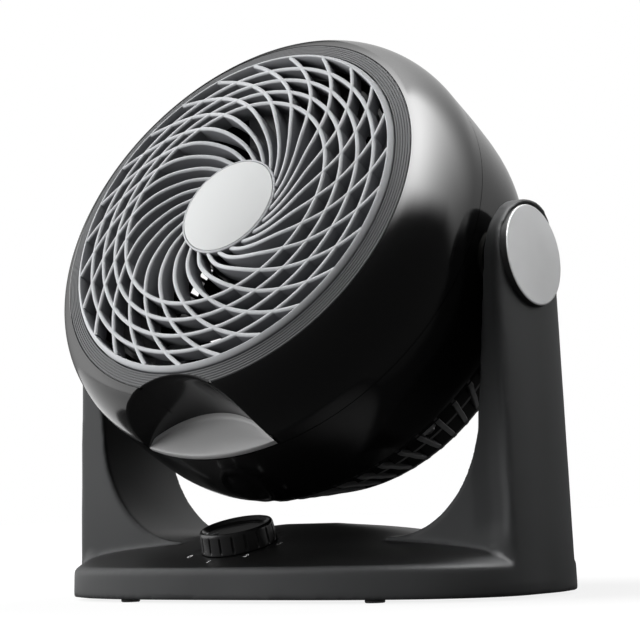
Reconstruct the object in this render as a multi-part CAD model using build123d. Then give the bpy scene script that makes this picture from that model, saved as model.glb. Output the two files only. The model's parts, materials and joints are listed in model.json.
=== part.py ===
from build123d import *
import math
import os

# Desk air circulator: a round blower head tilts between two arms on a low sloping base.
# The finished part stands on z = 0 with -Y as its front, and x = 0, y = 0 is the middle of its box.
# Stand pieces are drawn with x = 0, y = 0 under the tilt axis. Head pieces are drawn about their
# own +Z airflow axis with the tilt axis through the origin, and are then tilted and lifted.
# All lengths are in mm and all angles in degrees.

# ---- clearances and common stock
slip = 0.3
running = 0.05
hair = 0.1
case_wall = 2.6
screw_radius = 1.5
screw_head_radius = 2.9
screw_head_height = 1.6
screw_bite = 8.0
boss_wall = 2.6
socket_width = 0.9
socket_depth = 0.8

# ---- stand outline, seen from above
base_half_width = 134.2
base_half_depth = 64.5
plan_power = 3.0
plan_points = 32
side_taper = 0.025

# ---- base heights above the table
foot_height = 1.5
foot_radius = 4.6
foot_x = 73.0
foot_y = 52.0
foot_recess = 1.0
lip_height = 16.4
lip_round = 1.5
crown_height = 35.4
crown_levels = (
    (14.7, 128.0, 51.0), (9.5, 99.0, 34.0), (4.6, 66.0, 18.0), (1.6, 38.0, 8.5), (0.0, 16.0, 3.0))
plate_thick = 2.6
plate_screw_x = 96.0
plate_screw_y = 39.0

# ---- arms
pivot_height = 154.5
arm_front = 24.7
arm_back = 27.3
arm_lean = 1.7
arm_gap_half_top = 118.5
arm_gap_half_low = 113.0
arm_curve_height = 83.5
arm_curve_low_height = 28.6
arm_curve_inner = 64.0
arm_foot_inner = 62.0
arm_seat_height = lip_height - lip_round
arm_rib_height = 30.0
arm_rib_y = 13.0
arm_screw_xs = (82.0, 112.0)
arm_lead_x = 97.0
arm_lead_radius = 4.0

# ---- tilt pivot, measured outward along the tilt axis
pivot_hub_radius = 24.0
pivot_cap_radius = 23.6
pivot_cap_thick = 3.2
pivot_cap_proud = 131.4
pivot_cap_lean = 5.1
pivot_cap_edge = 0.8
pivot_wall_thick = 4.0
pivot_pocket_radius = 17.5
trunnion_radius = 9.0
trunnion_flange_radius = 15.2
trunnion_flange_thick = 3.0
trunnion_seat = 106.0
trunnion_screw_ring = 12.0
trunnion_screw_count = 3
trunnion_screw_phase = 0.0
pad_radius = 14.0
pad_face = 115.2
bush_wall = 2.2
bush_flange_radius = 13.3
bush_flange_thick = 1.2
outer_washer_radius = 16.0
outer_washer_thick = 0.8
pivot_nut_radius = 12.5
pivot_nut_thick = 2.7
lead_bore_radius = 3.2
lead_hole_radius = 2.0

# ---- control knob and rotary switch, drawn upward from the floor of a shallow round well
knob_x = -20.2
knob_y = -31.4
knob_lean = 15.4
knob_floor_height = 25.3
knob_well_radius = 19.3
knob_top_radius = 17.9
knob_foot_radius = 18.6
knob_lift = 0.6
knob_height = 10.4
knob_edge = 1.2
knob_dish = 0.8
knob_dish_radius = 14.6
knob_flute_count = 20
knob_flute_radius = 0.9
knob_notch = 1.6
knob_off_angle = -135.0
knob_skirt_wall = 2.6
knob_roof = 2.2
knob_boss_radius = 6.0
switch_shaft_radius = 3.0
switch_shaft_height = 7.6
switch_neck_radius = 4.6
switch_neck_height = 2.6
switch_floor_thick = 3.0
switch_pad_radius = 15.0
switch_body = 21.0
switch_depth = 10.0
switch_nut_radius = 7.0
switch_nut_thick = 1.6

# ---- cord inlet and electrics in the base
inlet_radius = 4.0
inlet_bore = 2.8
inlet_flange = 1.4
inlet_flange_thick = 1.4
inlet_sink = 0.6
inlet_height = 8.4
block_size = (34.0, 14.0, 9.0)
block_place = (38.0, 6.0)
capacitor_size = (38.0, 16.0, 18.0)
capacitor_place = (-34.0, 14.0)
tray_wall = 1.6
tray_height = 4.0

# ---- head, measured along its airflow axis from the tilt axis
head_tilt = 28.5
seam_at = 24.5
seam_gap = 0.4
front_outline = ((113.8, 24.7), (113.8, 31.0), (113.5, 37.8), (110.8, 48.6), (105.6, 57.6), (102.4, 62.6))
rear_outline = ((111.4, -19.8), (113.1, -10.0), (113.7, 0.0), (113.9, 10.8), (113.8, 24.3))
shell_wall = 2.4
spigot_wall = 2.2
spigot_root = 0.5
spigot_low = 19.0
spigot_high = 29.0
rear_flange_inner = 99.0
bezel_front_at = 64.8
bezel_inner_radius = 90.4
bezel_outer_radius = 101.6
bezel_groove_count = 8
bezel_groove_depth = 0.5
bezel_groove_width = 0.5
bezel_edge = 0.5
bezel_peg_radius = 1.6
bezel_peg_ring = 96.5
bezel_peg_count = 6
bezel_seat_at = 62.6

# ---- finger scoop under the bezel
scoop_radius = 54.0
scoop_reach = 92.3
scoop_floor_at = 28.0
scoop_insert_thick = 1.2

# ---- inner duct
duct_radius = 82.0
duct_wall = 2.0
duct_back_at = 8.0
duct_front_at = 55.0
duct_lip = 3.0
duct_flange_radius = 108.0
duct_flange_back = 27.6
duct_flange_thick = 2.4
housing_boss_ring = 98.0
housing_boss_count = 6
housing_boss_phase = 30.0
housing_boss_low = 14.0

# ---- front grille
grille_radius = 90.0
grille_lip = 1.8
grille_skirt_wall = 2.0
grille_skirt_back = 56.4
grille_front_curve = (
    (85.8, 64.9), (80.6, 67.0), (72.7, 68.3), (64.5, 69.6),
    (56.6, 71.3), (47.5, 72.6), (37.0, 70.4), (27.6, 66.0))
grille_hub_depth = 9.0
grille_edge_depth = 6.0
grille_rib_count = 25
grille_rib_width = 1.9
grille_rib_phase = 8.0
grille_ring_radii = (56.6, 64.5, 72.7, 80.6)
grille_inner_ring_width = 1.9
rib_sweep_rate = 1.08
rib_hook_rate = 0.0267
rib_hook_radius = 50.0
rib_points = 9
grille_hub_plate = 3.2
hook_width = 9.0
hook_thick = 1.6
hook_reach = 1.6
hook_count = 6
hook_phase = 30.0
hub_cap_radius = 26.8
hub_cap_thick = 1.3
hub_cap_edge = 0.5

# ---- rear grille
rear_rib_count = 60
rear_rib_width = 2.0
rear_rib_depth = 6.0
rear_side_slope = 27.0
rear_curve = (
    (111.3, -20.0), (109.4, -24.0), (98.2, -41.0), (85.2, -63.6),
    (80.0, -70.5), (72.0, -74.6), (57.0, -77.0), (36.0, -78.0))
rear_ring_inner = 100.0
rear_ring_thick = 2.8
rear_plate_radius = 37.0
rear_short_rib_radius = 57.0
rear_ring_width = 2.4
rear_ring_radii = (48.0, 58.0, 71.0, 84.0, 97.5)
clip_count = 6
clip_phase = -43.2
clip_width = 7.6
clip_depth = 6.0
clip_length = 4.4
clip_ring = 105.0
clip_edge = 0.8

# ---- motor
motor_radius = 35.0
motor_back_at = -72.0
motor_split_at = -48.0
motor_front_at = -24.0
motor_wall = 2.0
motor_screw_ring = 27.0
motor_screw_count = 4
motor_screw_phase = 45.0
motor_screw_sink = 2.0
motor_screw_bite = 6.0
stator_bore = 20.0
stator_length = 26.0
stator_slot_count = 12
stator_slot_radius = 2.4
stator_slot_ring = 24.5
rotor_gap = 0.6
rotor_length = 24.0
shaft_radius = 4.0
shaft_back_at = -70.5
shaft_front_at = 54.0
bearing_radius = 9.0
bearing_length = 6.0

# ---- impeller
hub_radius = 27.0
hub_front_at = 46.0
hub_back_at = 12.0
hub_wall = 2.4
hub_edge = 3.0
hub_core_radius = 9.0
blade_count = 5
blade_tip_radius = 78.5
blade_thick = 2.4
blade_root_chord = 34.0
blade_tip_chord = 64.0
blade_root_pitch = 48.0
blade_tip_pitch = 27.0
blade_camber = 4.0
blade_mid_at = 29.0
blade_phase = 20.0
spinner_radius = 9.0
spinner_tip_radius = 5.0
spinner_length = 8.0
spinner_rim = 2.0


# ---------------------------------------------------------------- shared helpers
def superellipse(half_x, half_y, height):
    """Closed smooth outline |x/a|^n + |y/b|^n = 1 as a face at the given height."""
    points = []
    for i in range(plan_points):
        turn = 2 * math.pi * i / plan_points
        c, s = math.cos(turn), math.sin(turn)
        x = half_x * math.copysign(abs(c) ** (2 / plan_power), c)
        y = half_y * math.copysign(abs(s) ** (2 / plan_power), s)
        points.append(Vector(x, y, height))
    return Face(Wire([Edge.make_spline(points, periodic=True)]))


def disc(radius, low, high):
    return Pos(0, 0, (low + high) / 2) * Cylinder(radius, high - low)


def tube(outer, inner, low, high):
    return disc(outer, low, high) - disc(inner, low, high)


def along_x(shape):
    """Turn a shape drawn along +Z so that it runs along +X."""
    return Rot(Y=90) * shape


def at_pivot(shape):
    return Pos(0, 0, pivot_height) * shape


def mirrored(shape):
    return mirror(shape, Plane.YZ)


def turned(outline):
    """Solid of revolution from a closed outline of (radius, height) points."""
    return revolve(Plane.XZ * make_face(Polyline(*outline, close=True)), Axis.Z)


def turned_shell(outline, wall):
    """Smooth revolved wall: the outline is its outside, and the wall is taken off inward."""
    inner = inward(outline, wall)
    edges = Spline(*outline) + Line(outline[-1], inner[-1]) + Spline(*inner) + Line(inner[0], outline[0])
    return revolve(Plane.XZ * make_face(edges), Axis.Z)


def turned_solid(outline):
    """The same smooth outline, filled to the axis."""
    top, low = outline[-1][1], outline[0][1]
    edges = Spline(*outline) + Line(outline[-1], (0, top))
    edges += Line((0, top), (0, low)) + Line((0, low), outline[0])
    return revolve(Plane.XZ * make_face(edges), Axis.Z)


def inward(outline, wall):
    """Outline moved toward the axis by the wall, square to the line of its neighbours."""
    moved = []
    for i, (radius, height) in enumerate(outline):
        before = outline[max(i - 1, 0)]
        after = outline[min(i + 1, len(outline) - 1)]
        run, rise = after[0] - before[0], after[1] - before[1]
        length = math.hypot(run, rise)
        end = i in (0, len(outline) - 1)
        drop = 0 if end else wall * run / length
        moved.append((radius - wall * (1 if end else rise / length), height + drop))
    return moved


def spread(shape, count, phase=0.0, skip=()):
    """Copies of a shape around +Z, as a list."""
    return [Rot(Z=phase + 360 * k / count) * shape for k in range(count) if k not in skip]


def screw(length):
    """Pan head screw: its head seat is z = 0 and its shank runs up +Z."""
    body = disc(screw_radius, 0, length) + disc(screw_head_radius, -screw_head_height, 0)
    slot = Box(2 * screw_head_radius - 2, socket_width, 2 * socket_depth)
    return body - Pos(0, 0, -screw_head_height) * slot - Pos(0, 0, -screw_head_height) * Rot(Z=90) * slot


def bore(low, high, radius=screw_radius + hair):
    return disc(radius, low, high)


# ---------------------------------------------------------------- stand forms
def side_prism(inset, low, high):
    """Stand outline raised with its side taper between two heights."""
    faces = []
    for height in (low, high):
        draw = side_taper * height + inset
        faces.append(superellipse(base_half_width - draw, base_half_depth - draw, height))
    return loft(faces)


def base_form(inset, floor):
    """The base's closed outer form, drawn in by inset on its sides and top."""
    wall_top = lip_height - lip_round - inset
    lip_top = lip_height - inset
    draw = side_taper * wall_top + inset
    half_x, half_y = base_half_width - draw, base_half_depth - draw
    body = side_prism(inset, min(floor, wall_top - 1), wall_top)
    rim = superellipse(half_x - lip_round, half_y - lip_round, lip_top)
    lip = loft([superellipse(half_x, half_y, wall_top), rim])
    shrink_x = half_x / base_half_width
    shrink_y = half_y / base_half_depth
    rings = [rim]
    for drop, level_x, level_y in crown_levels:
        rings.append(superellipse(level_x * shrink_x, level_y * shrink_y, crown_height - inset - drop))
    return body + lip + loft(rings)


def arm_side_form(inset):
    """Arm seen from the side: a leaning front, an upright back and a round top on the tilt axis."""
    centre = (arm_back - arm_front) / 2
    radius = (arm_back + arm_front) / 2 - inset
    front, back = centre - radius, centre + radius
    corners = ((back, 0), (back, pivot_height), (front, pivot_height), (front - arm_lean, 0))
    outline = Polyline(*corners, close=True)
    post = extrude(Plane.YZ * make_face(outline), 2 * base_half_width, both=True)
    top = Pos(0, centre, pivot_height) * along_x(disc(radius, -2 * base_half_width, 2 * base_half_width))
    return post + top


def arm_gap(grow):
    """Space between the arms: near-upright inner faces sweep down into the base in a long curve."""
    slope = (arm_gap_half_top - arm_gap_half_low) / (pivot_height - arm_curve_height)
    top = 2 * pivot_height
    wide = arm_gap_half_low + slope * (top - arm_curve_height) + grow
    side = arm_gap_half_low + grow
    low = arm_curve_low_height - grow
    start = arm_curve_inner
    curve = EllipticalCenterArc((start, arm_curve_height), side - start, arm_curve_height - low, 270)
    edges = Line((-0.0, low), (start, low)) + curve + Line((side, arm_curve_height), (wide, top))
    edges += Line((wide, top), (0, top)) + Line((0, top), (0, low))
    return extrude(Plane.XZ * make_face(edges), 2 * base_half_depth, both=True)


def foot_box(inset, low):
    """Block around the foot of the right arm, from a height upward."""
    inner = arm_foot_inner + inset
    front = arm_front + arm_lean - inset
    back = arm_back - inset
    high = crown_height + 5
    size = Box(base_half_width + 5 - inner, front + back, high - low)
    return Pos((base_half_width + 5 + inner) / 2, (back - front) / 2, (low + high) / 2) * size


def arm_form(inset, low):
    """Right arm's outer form above a height, drawn in by inset."""
    post = side_prism(inset, low, 2 * pivot_height) & arm_side_form(inset)
    post -= arm_gap(inset)
    post &= foot_region(inset)
    return post + (base_form(inset, low) & foot_box(inset, low))


def foot_region(inset):
    middle = arm_foot_inner + inset + base_half_width
    return Pos(middle, 0, pivot_height) * Box(2 * base_half_width, 4 * base_half_depth, 4 * pivot_height)


def plate_screw_places():
    return [(x, y) for x in (-plate_screw_x, 0, plate_screw_x) for y in (-plate_screw_y, plate_screw_y)]


def arm_screw_places():
    return [(x, y) for x in arm_screw_xs for y in (-arm_rib_y, arm_rib_y)]


def foot_places():
    return [(x, y) for x in (-foot_x, foot_x) for y in (-foot_y, foot_y)]


def on_knob(shape):
    """Place a shape drawn upward from the floor of the knob's well."""
    return Pos(knob_x, knob_y, knob_floor_height) * Rot(X=knob_lean) * shape


# ---------------------------------------------------------------- stand pieces
def base_housing():
    seat = foot_box(0, arm_seat_height)
    outer = base_form(0, foot_height) - seat - mirrored(seat)
    under = foot_box(-case_wall, arm_seat_height - case_wall)
    cavity = base_form(case_wall, foot_height - 1) - under - mirrored(under)
    shell = outer - cavity
    boss_low = foot_height + plate_thick
    boss = disc(screw_radius + boss_wall, boss_low, crown_height)
    bosses = [Pos(x, y, 0) * boss for x, y in plate_screw_places()]
    bosses.append(on_knob(disc(switch_pad_radius, -switch_floor_thick, 0)))
    shell += Part() + [boss & outer for boss in bosses]
    cuts = [Pos(x, y, 0) * bore(boss_low - 1, boss_low + screw_bite + 1) for x, y in plate_screw_places()]
    for x, y in arm_screw_places():
        hole = Pos(x, y, 0) * bore(arm_seat_height - 2 * case_wall, arm_seat_height + 1)
        cuts += [hole, mirrored(hole)]
    lead = Pos(arm_lead_x, 0, 0) * disc(arm_lead_radius, arm_seat_height - 2 * case_wall, arm_seat_height + 1)
    cuts += [lead, mirrored(lead)]
    cuts.append(on_knob(disc(knob_well_radius, 0, knob_height)))
    cuts.append(on_knob(disc(switch_neck_radius + hair, -2 * switch_floor_thick, 1)))
    cuts.append(inlet_place(disc(inlet_radius + hair, -3 * case_wall, 3 * case_wall)))
    cuts.append(inlet_place(disc(inlet_radius + inlet_flange + hair, -inlet_sink, 3 * case_wall)))
    return shell - cuts


def inlet_place(shape):
    """Place a shape drawn outward along +Z at the middle of the back wall."""
    wall_y = base_half_depth - side_taper * inlet_height
    return Pos(0, wall_y, inlet_height) * Rot(X=-90) * shape


def base_plate():
    inset = case_wall + slip + side_taper * (foot_height + plate_thick)
    outline = superellipse(base_half_width - inset, base_half_depth - inset, foot_height)
    plate = extrude(outline, plate_thick, dir=(0, 0, 1))
    cuts = []
    for x, y in plate_screw_places():
        cuts.append(Pos(x, y, 0) * bore(0, 2 * foot_height + plate_thick))
        cuts.append(Pos(x, y, 0) * disc(screw_head_radius + slip, 0, foot_height + screw_head_height))
    for x, y in foot_places():
        cuts.append(Pos(x, y, 0) * disc(foot_radius + hair, 0, foot_height + foot_recess))
    trays = [tray(block_size, block_place), tray(capacitor_size, capacitor_place)]
    return plate - cuts + trays


def tray(size, place):
    """Low wall on the base plate that a box-shaped part drops into."""
    low = foot_height + plate_thick
    high = low + tray_height
    wide, deep = size[0] + 2 * hair, size[1] + 2 * hair
    wall = Box(wide + 2 * tray_wall, deep + 2 * tray_wall, high - low) - Box(wide, deep, high - low)
    return Pos(place[0], place[1], (low + high) / 2) * wall


def boxed_part(size, place):
    low = foot_height + plate_thick
    body = Box(*size)
    body = fillet(body.edges().filter_by(Axis.Z), 1.5)
    return Pos(place[0], place[1], low + size[2] / 2) * body


def terminal_block():
    block = boxed_part(block_size, block_place)
    pitch = block_size[0] / 4
    top = foot_height + plate_thick + block_size[2]
    for k in (-1, 0, 1):
        block -= Pos(block_place[0] + k * pitch, block_place[1], 0) * disc(2.0, top - 4, top + 1)
    return block


def motor_capacitor():
    return boxed_part(capacitor_size, capacitor_place)


def rubber_feet():
    top = foot_height + foot_recess
    foot = disc(foot_radius, 0, top)
    foot = chamfer(foot.edges().group_by(Axis.Z)[0], 0.4)
    return Part() + [Pos(x, y, 0) * foot for x, y in foot_places()]


def base_screws():
    seat = foot_height + screw_head_height
    one = screw(plate_thick + screw_bite - screw_head_height)
    return Part() + [Pos(x, y, seat) * one for x, y in plate_screw_places()]


def arm_screws():
    seat = arm_seat_height - case_wall
    pieces = [Pos(x, y, seat) * screw(case_wall + screw_bite) for x, y in arm_screw_places()]
    return Part() + pieces + [mirrored(piece) for piece in pieces]


def pivot_wall():
    return arm_gap_half_top + pivot_wall_thick


def cap_place(shape):
    """Place a shape drawn outward along +Z on the leaning face of the pivot cap."""
    return at_pivot(Pos(pivot_cap_proud, 0, 0) * Rot(Y=90 - pivot_cap_lean) * shape)


def right_arm():
    shell = arm_form(0, arm_seat_height)
    cavity = arm_form(case_wall, arm_seat_height - 1)
    hub = at_pivot(along_x(disc(pivot_hub_radius, 0, 2 * base_half_width)))
    shell -= cavity - hub
    rib_mid = (arm_seat_height + arm_rib_height) / 2
    rib = Box(2 * base_half_width, case_wall, arm_rib_height - arm_seat_height)
    rib = Pos(base_half_width, 0, rib_mid) * rib
    boss_top = arm_seat_height + screw_bite + 2
    boss = disc(screw_radius + boss_wall, arm_seat_height, boss_top)
    extras = [Pos(0, y, 0) * rib for y in (-arm_rib_y, arm_rib_y)]
    extras += [Pos(x, y, 0) * boss for x, y in arm_screw_places()]
    shell += (Part() + extras) & arm_form(case_wall / 2, arm_seat_height)
    screw_hole = bore(arm_seat_height - 1, arm_seat_height + screw_bite + 1)
    cuts = [Pos(x, y, 0) * screw_hole for x, y in arm_screw_places()]
    cuts.append(cap_place(disc(pivot_cap_radius + hair, -pivot_cap_thick, 10)))
    cuts.append(at_pivot(along_x(disc(pivot_pocket_radius, pivot_wall(), 2 * base_half_width))))
    cuts.append(at_pivot(along_x(disc(bush_radius() + hair, 0, 2 * base_half_width))))
    cuts.append(at_pivot(along_x(disc(bush_flange_radius + hair, 0, arm_gap_half_top))))
    lead_x = (pivot_wall() + pivot_cap_proud - pivot_cap_thick) / 2
    cuts.append(Pos(lead_x, 0, pivot_height) * disc(lead_hole_radius, -pivot_hub_radius - case_wall, 0))
    return shell - cuts


def bush_radius():
    return trunnion_radius + running + bush_wall


def right_bush():
    face = arm_gap_half_top - bush_flange_thick
    body = disc(bush_radius(), face, pivot_wall()) + disc(bush_flange_radius, face, arm_gap_half_top)
    return at_pivot(along_x(body - disc(trunnion_radius + running, face - 1, pivot_wall() + 1)))


def right_cap():
    body = disc(pivot_cap_radius, -pivot_cap_thick, 0)
    return cap_place(fillet(body.edges().group_by(Axis.Z)[-1], pivot_cap_edge))


def cord_inlet():
    reach = case_wall + inlet_flange_thick
    body = disc(inlet_radius, -reach, 0)
    body += disc(inlet_radius + inlet_flange, -inlet_sink, inlet_flange_thick - inlet_sink)
    return inlet_place(body - disc(inlet_bore, -2 * reach, 2 * reach))


def rotary_switch():
    low = -switch_floor_thick - switch_depth
    body = Pos(0, 0, low + switch_depth / 2) * Box(switch_body, switch_body, switch_depth)
    body = fillet(body.edges().filter_by(Axis.Z), 2.0)
    body += disc(switch_neck_radius, -switch_floor_thick - 1, switch_neck_height)
    body -= disc(switch_shaft_radius + running, low + 3, switch_neck_height + 1)
    return on_knob(body)


def switch_nut():
    nut = extrude(RegularPolygon(switch_nut_radius, 6), switch_nut_thick)
    return on_knob(nut - disc(switch_neck_radius + hair, -1, switch_nut_thick + 1))


# ---------------------------------------------------------------- knob body
def switch_shaft():
    low = -switch_floor_thick - switch_depth + 3 + hair
    shaft = disc(switch_shaft_radius, low, switch_shaft_height)
    flat = Pos(0, switch_shaft_radius + 1, (switch_neck_height + switch_shaft_height) / 2 + 0.5)
    return on_knob(shaft - flat * Box(10, 4, switch_shaft_height - switch_neck_height))


def control_knob():
    low, high = knob_lift, knob_lift + knob_height
    body = turned(((0, low), (knob_foot_radius, low), (knob_top_radius, high), (0, high)))
    body = fillet(body.edges().group_by(Axis.Z)[-1], knob_edge)
    body -= disc(knob_dish_radius, high - knob_dish, high + 1)
    roof = high - knob_dish - knob_roof
    boss = disc(knob_boss_radius, switch_neck_height + slip, roof)
    body -= disc(knob_foot_radius - knob_skirt_wall, low - 1, roof) - boss
    flute = Pos(knob_foot_radius + 0.35, 0, 0) * disc(knob_flute_radius, low - 1, high - 2 * knob_edge)
    body -= spread(flute, knob_flute_count)
    body -= disc(switch_shaft_radius + hair, 0, switch_shaft_height + hair)
    flat = Pos(0, switch_shaft_radius + 1 + hair, (switch_neck_height + switch_shaft_height) / 2 + 0.5 + hair)
    key = flat * Box(2 * switch_shaft_radius, 4, switch_shaft_height - switch_neck_height)
    body += key & disc(switch_shaft_radius + 1, 0, switch_shaft_height + 1)
    notch = Rot(Z=knob_off_angle) * Pos(knob_top_radius - 2, 0, high) * Box(3.2, knob_notch, 1.4)
    return on_knob(body - notch)


# ---------------------------------------------------------------- head shells
def scoop_tool(grow, low, high):
    """Round cutter that runs along the head axis at its lower edge."""
    return Pos(0, -(scoop_reach + scoop_radius), 0) * disc(scoop_radius + grow, low, high)


def housing_boss_places(shape):
    places = range(housing_boss_count)
    under_scoop = [k for k in places if housing_boss_phase + 360 * k / housing_boss_count == 270]
    return spread(Pos(housing_boss_ring, 0, 0) * shape, housing_boss_count, housing_boss_phase, under_scoop)


def front_housing():
    shell = turned_shell(front_outline, shell_wall)
    flange_low = bezel_seat_at - shell_wall
    shell += tube(front_outline[-1][0], skirt_radius() + hair, flange_low, bezel_seat_at)
    form = turned_solid(front_outline)
    low = front_outline[0][1]
    floor_top = scoop_floor_at - scoop_insert_thick
    bucket = scoop_tool(shell_wall, low, bezel_seat_at) & form
    shell += bucket
    shell -= scoop_tool(0, floor_top, 2 * bezel_seat_at)
    boss_low = duct_flange_back + duct_flange_thick
    bosses = housing_boss_places(disc(screw_radius + boss_wall, boss_low, flange_low + 1))
    shell += bosses
    cuts = housing_boss_places(bore(boss_low - 1, boss_low + screw_bite + 4))
    cuts += bezel_peg_places(bore(flange_low - 1, bezel_seat_at + 1, bezel_peg_radius + hair))
    return shell - cuts


def bezel_peg_places(shape):
    return spread(Pos(bezel_peg_ring, 0, 0) * shape, bezel_peg_count)


def scoop_insert():
    form = turned_solid(front_outline)
    return scoop_tool(-hair, scoop_floor_at - scoop_insert_thick, scoop_floor_at) & form


def bezel_ring():
    """Flat ring with fine concentric grooves, cut away by the scoop, on pegs."""
    top = bezel_front_at
    outline = [(bezel_inner_radius, bezel_seat_at), (bezel_inner_radius, top)]
    pitch = (bezel_outer_radius - bezel_inner_radius) / (bezel_groove_count + 1)
    for k in range(1, bezel_groove_count + 1):
        middle = bezel_inner_radius + k * pitch
        near, far = middle - bezel_groove_width / 2, middle + bezel_groove_width / 2
        outline += [(near, top), (near, top - bezel_groove_depth)]
        outline += [(far, top - bezel_groove_depth), (far, top)]
    outline += [(bezel_outer_radius - bezel_edge, top), (bezel_outer_radius, top - bezel_edge)]
    outline.append((bezel_outer_radius, bezel_seat_at))
    ring = turned(outline) - scoop_tool(0, 0, 2 * bezel_front_at)
    return ring + bezel_peg_places(disc(bezel_peg_radius, bezel_seat_at - shell_wall, bezel_seat_at + 1))


def rear_housing():
    shell = turned_shell(rear_outline, shell_wall)
    flange_at = rear_outline[0][1]
    shell += tube(rear_outline[0][0] - 0.4, rear_flange_inner, flange_at, flange_at + shell_wall)
    inside = rear_outline[-1][0] - shell_wall
    spigot_radius = inside - slip
    spigot_inner = spigot_radius - spigot_wall
    shell += tube(inside + spigot_root, spigot_inner, spigot_low, seam_at - seam_gap)
    shell += tube(spigot_radius, spigot_inner, spigot_low, spigot_high)
    shell -= scoop_tool(shell_wall + slip, seam_at - seam_gap / 2, spigot_high + 1)
    boss = disc(screw_radius + boss_wall, housing_boss_low, duct_flange_back)
    web_long = spigot_radius - hair - housing_boss_ring
    web = Pos(web_long / 2, 0, (housing_boss_low + duct_flange_back) / 2) * Box(
        web_long, shell_wall, duct_flange_back - housing_boss_low)
    shell += housing_boss_places(boss + web)
    pad = along_x(disc(trunnion_flange_radius + 1.8, trunnion_seat, rear_outline[2][0] - 1))
    pad += along_x(disc(pad_radius, trunnion_seat, pad_face))
    shell += [pad, mirrored(pad)]
    shell += clip_places(disc(screw_radius + boss_wall, flange_at, flange_at + screw_bite + 2))
    cuts = housing_boss_places(bore(0, duct_flange_back + 1))
    cuts.append(along_x(disc(trunnion_radius + hair, -pad_face - 1, pad_face + 1)))
    for side in (1, -1):
        for k in range(trunnion_screw_count):
            hole = Pos(0, 0, trunnion_screw_ring) * along_x(bore(trunnion_seat - 1, trunnion_seat + 6.4))
            cuts.append(Rot(Z=0 if side > 0 else 180) * Rot(X=60 + 120 * k) * hole)
    cuts += clip_places(bore(flange_at - 1, flange_at + screw_bite + 1))
    return shell - cuts


def clip_places(shape):
    return spread(Pos(clip_ring, 0, 0) * shape, clip_count, clip_phase)


def duct_ring():
    outer = duct_radius + duct_wall
    duct = tube(outer, duct_radius, duct_back_at, duct_front_at)
    lip = turned(((duct_radius, duct_back_at), (outer + duct_lip, duct_back_at - duct_lip),
                  (outer + duct_lip, duct_back_at - duct_lip + duct_wall), (outer, duct_back_at + duct_wall),
                  (duct_radius, duct_back_at + duct_wall)))
    high = duct_flange_back + duct_flange_thick
    flange = tube(duct_flange_radius, outer - 1, duct_flange_back, high)
    flange -= scoop_tool(shell_wall + slip, 0, 2 * high)
    flange -= housing_boss_places(bore(0, 2 * high))
    return duct + lip + flange


def housing_screws():
    head = Part() + housing_boss_places(Pos(0, 0, housing_boss_low) * screw(
        duct_flange_back - housing_boss_low + duct_flange_thick + screw_bite))
    return head


def right_trunnion():
    low = trunnion_seat - trunnion_flange_thick
    high = pivot_wall() + 2 * hair + outer_washer_thick + pivot_nut_thick
    body = disc(trunnion_flange_radius, low, trunnion_seat) + disc(trunnion_radius, low, high)
    body -= disc(lead_bore_radius, low - 1, high + 1)
    hole = Pos(trunnion_screw_ring, 0, 0) * bore(low - 1, trunnion_seat + 1)
    return along_x(body - spread(hole, trunnion_screw_count, trunnion_screw_phase))


def trunnion_screws():
    seat = trunnion_seat - trunnion_flange_thick
    pieces = []
    for k in range(trunnion_screw_count):
        one = Pos(0, 0, trunnion_screw_ring) * along_x(Pos(0, 0, seat) * screw(trunnion_flange_thick + 6))
        pieces.append(Rot(X=60 + 120 * k) * one)
    return Part() + pieces + [Rot(Z=180) * piece for piece in pieces]


def right_nut():
    low = pivot_wall() + 2 * hair + outer_washer_thick
    nut = Pos(0, 0, low) * extrude(RegularPolygon(pivot_nut_radius, 6), pivot_nut_thick)
    return along_x(nut - disc(trunnion_radius + hair, low - 1, low + 5))


def right_washer():
    low = pivot_wall() + hair
    return along_x(tube(outer_washer_radius, trunnion_radius + hair, low, low + outer_washer_thick))


def right_spacer():
    high = arm_gap_half_top - bush_flange_thick - hair
    return along_x(tube(bush_flange_radius, trunnion_radius + hair, pad_face, high))


# ---------------------------------------------------------------- front grille
def rib_angle(radius):
    """Sweep of a curved rib: its angle about the head axis at a radius."""
    sweep = rib_sweep_rate * (radius - grille_ring_radii[0])
    return grille_rib_phase + sweep - rib_hook_rate * max(0.0, rib_hook_radius - radius) ** 2


def rib_face():
    """Flat shape of one curved rib between the hub and the outer ring."""
    inner, outer = hub_cap_radius - 2, grille_radius - 2
    radii = [inner + (outer - inner) * i / (rib_points - 1) for i in range(rib_points)]
    middle = []
    for radius in radii:
        turn = math.radians(rib_angle(radius))
        middle.append((radius * math.cos(turn), radius * math.sin(turn)))
    sides = []
    for sign in (1, -1):
        points = []
        for i, (x, y) in enumerate(middle):
            before, after = middle[max(i - 1, 0)], middle[min(i + 1, len(middle) - 1)]
            run, rise = after[0] - before[0], after[1] - before[1]
            half = sign * grille_rib_width / 2 / math.hypot(run, rise)
            points.append((x - rise * half, y + run * half))
        sides.append(points)
    left, right = sides
    return make_face(Spline(*left) + Line(left[-1], right[-1]) + Spline(*right) + Line(right[0], left[0]))


def skirt_radius():
    return grille_radius - grille_lip


def flat_ring(outer, inner):
    return Circle(outer) - Circle(inner)


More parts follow.
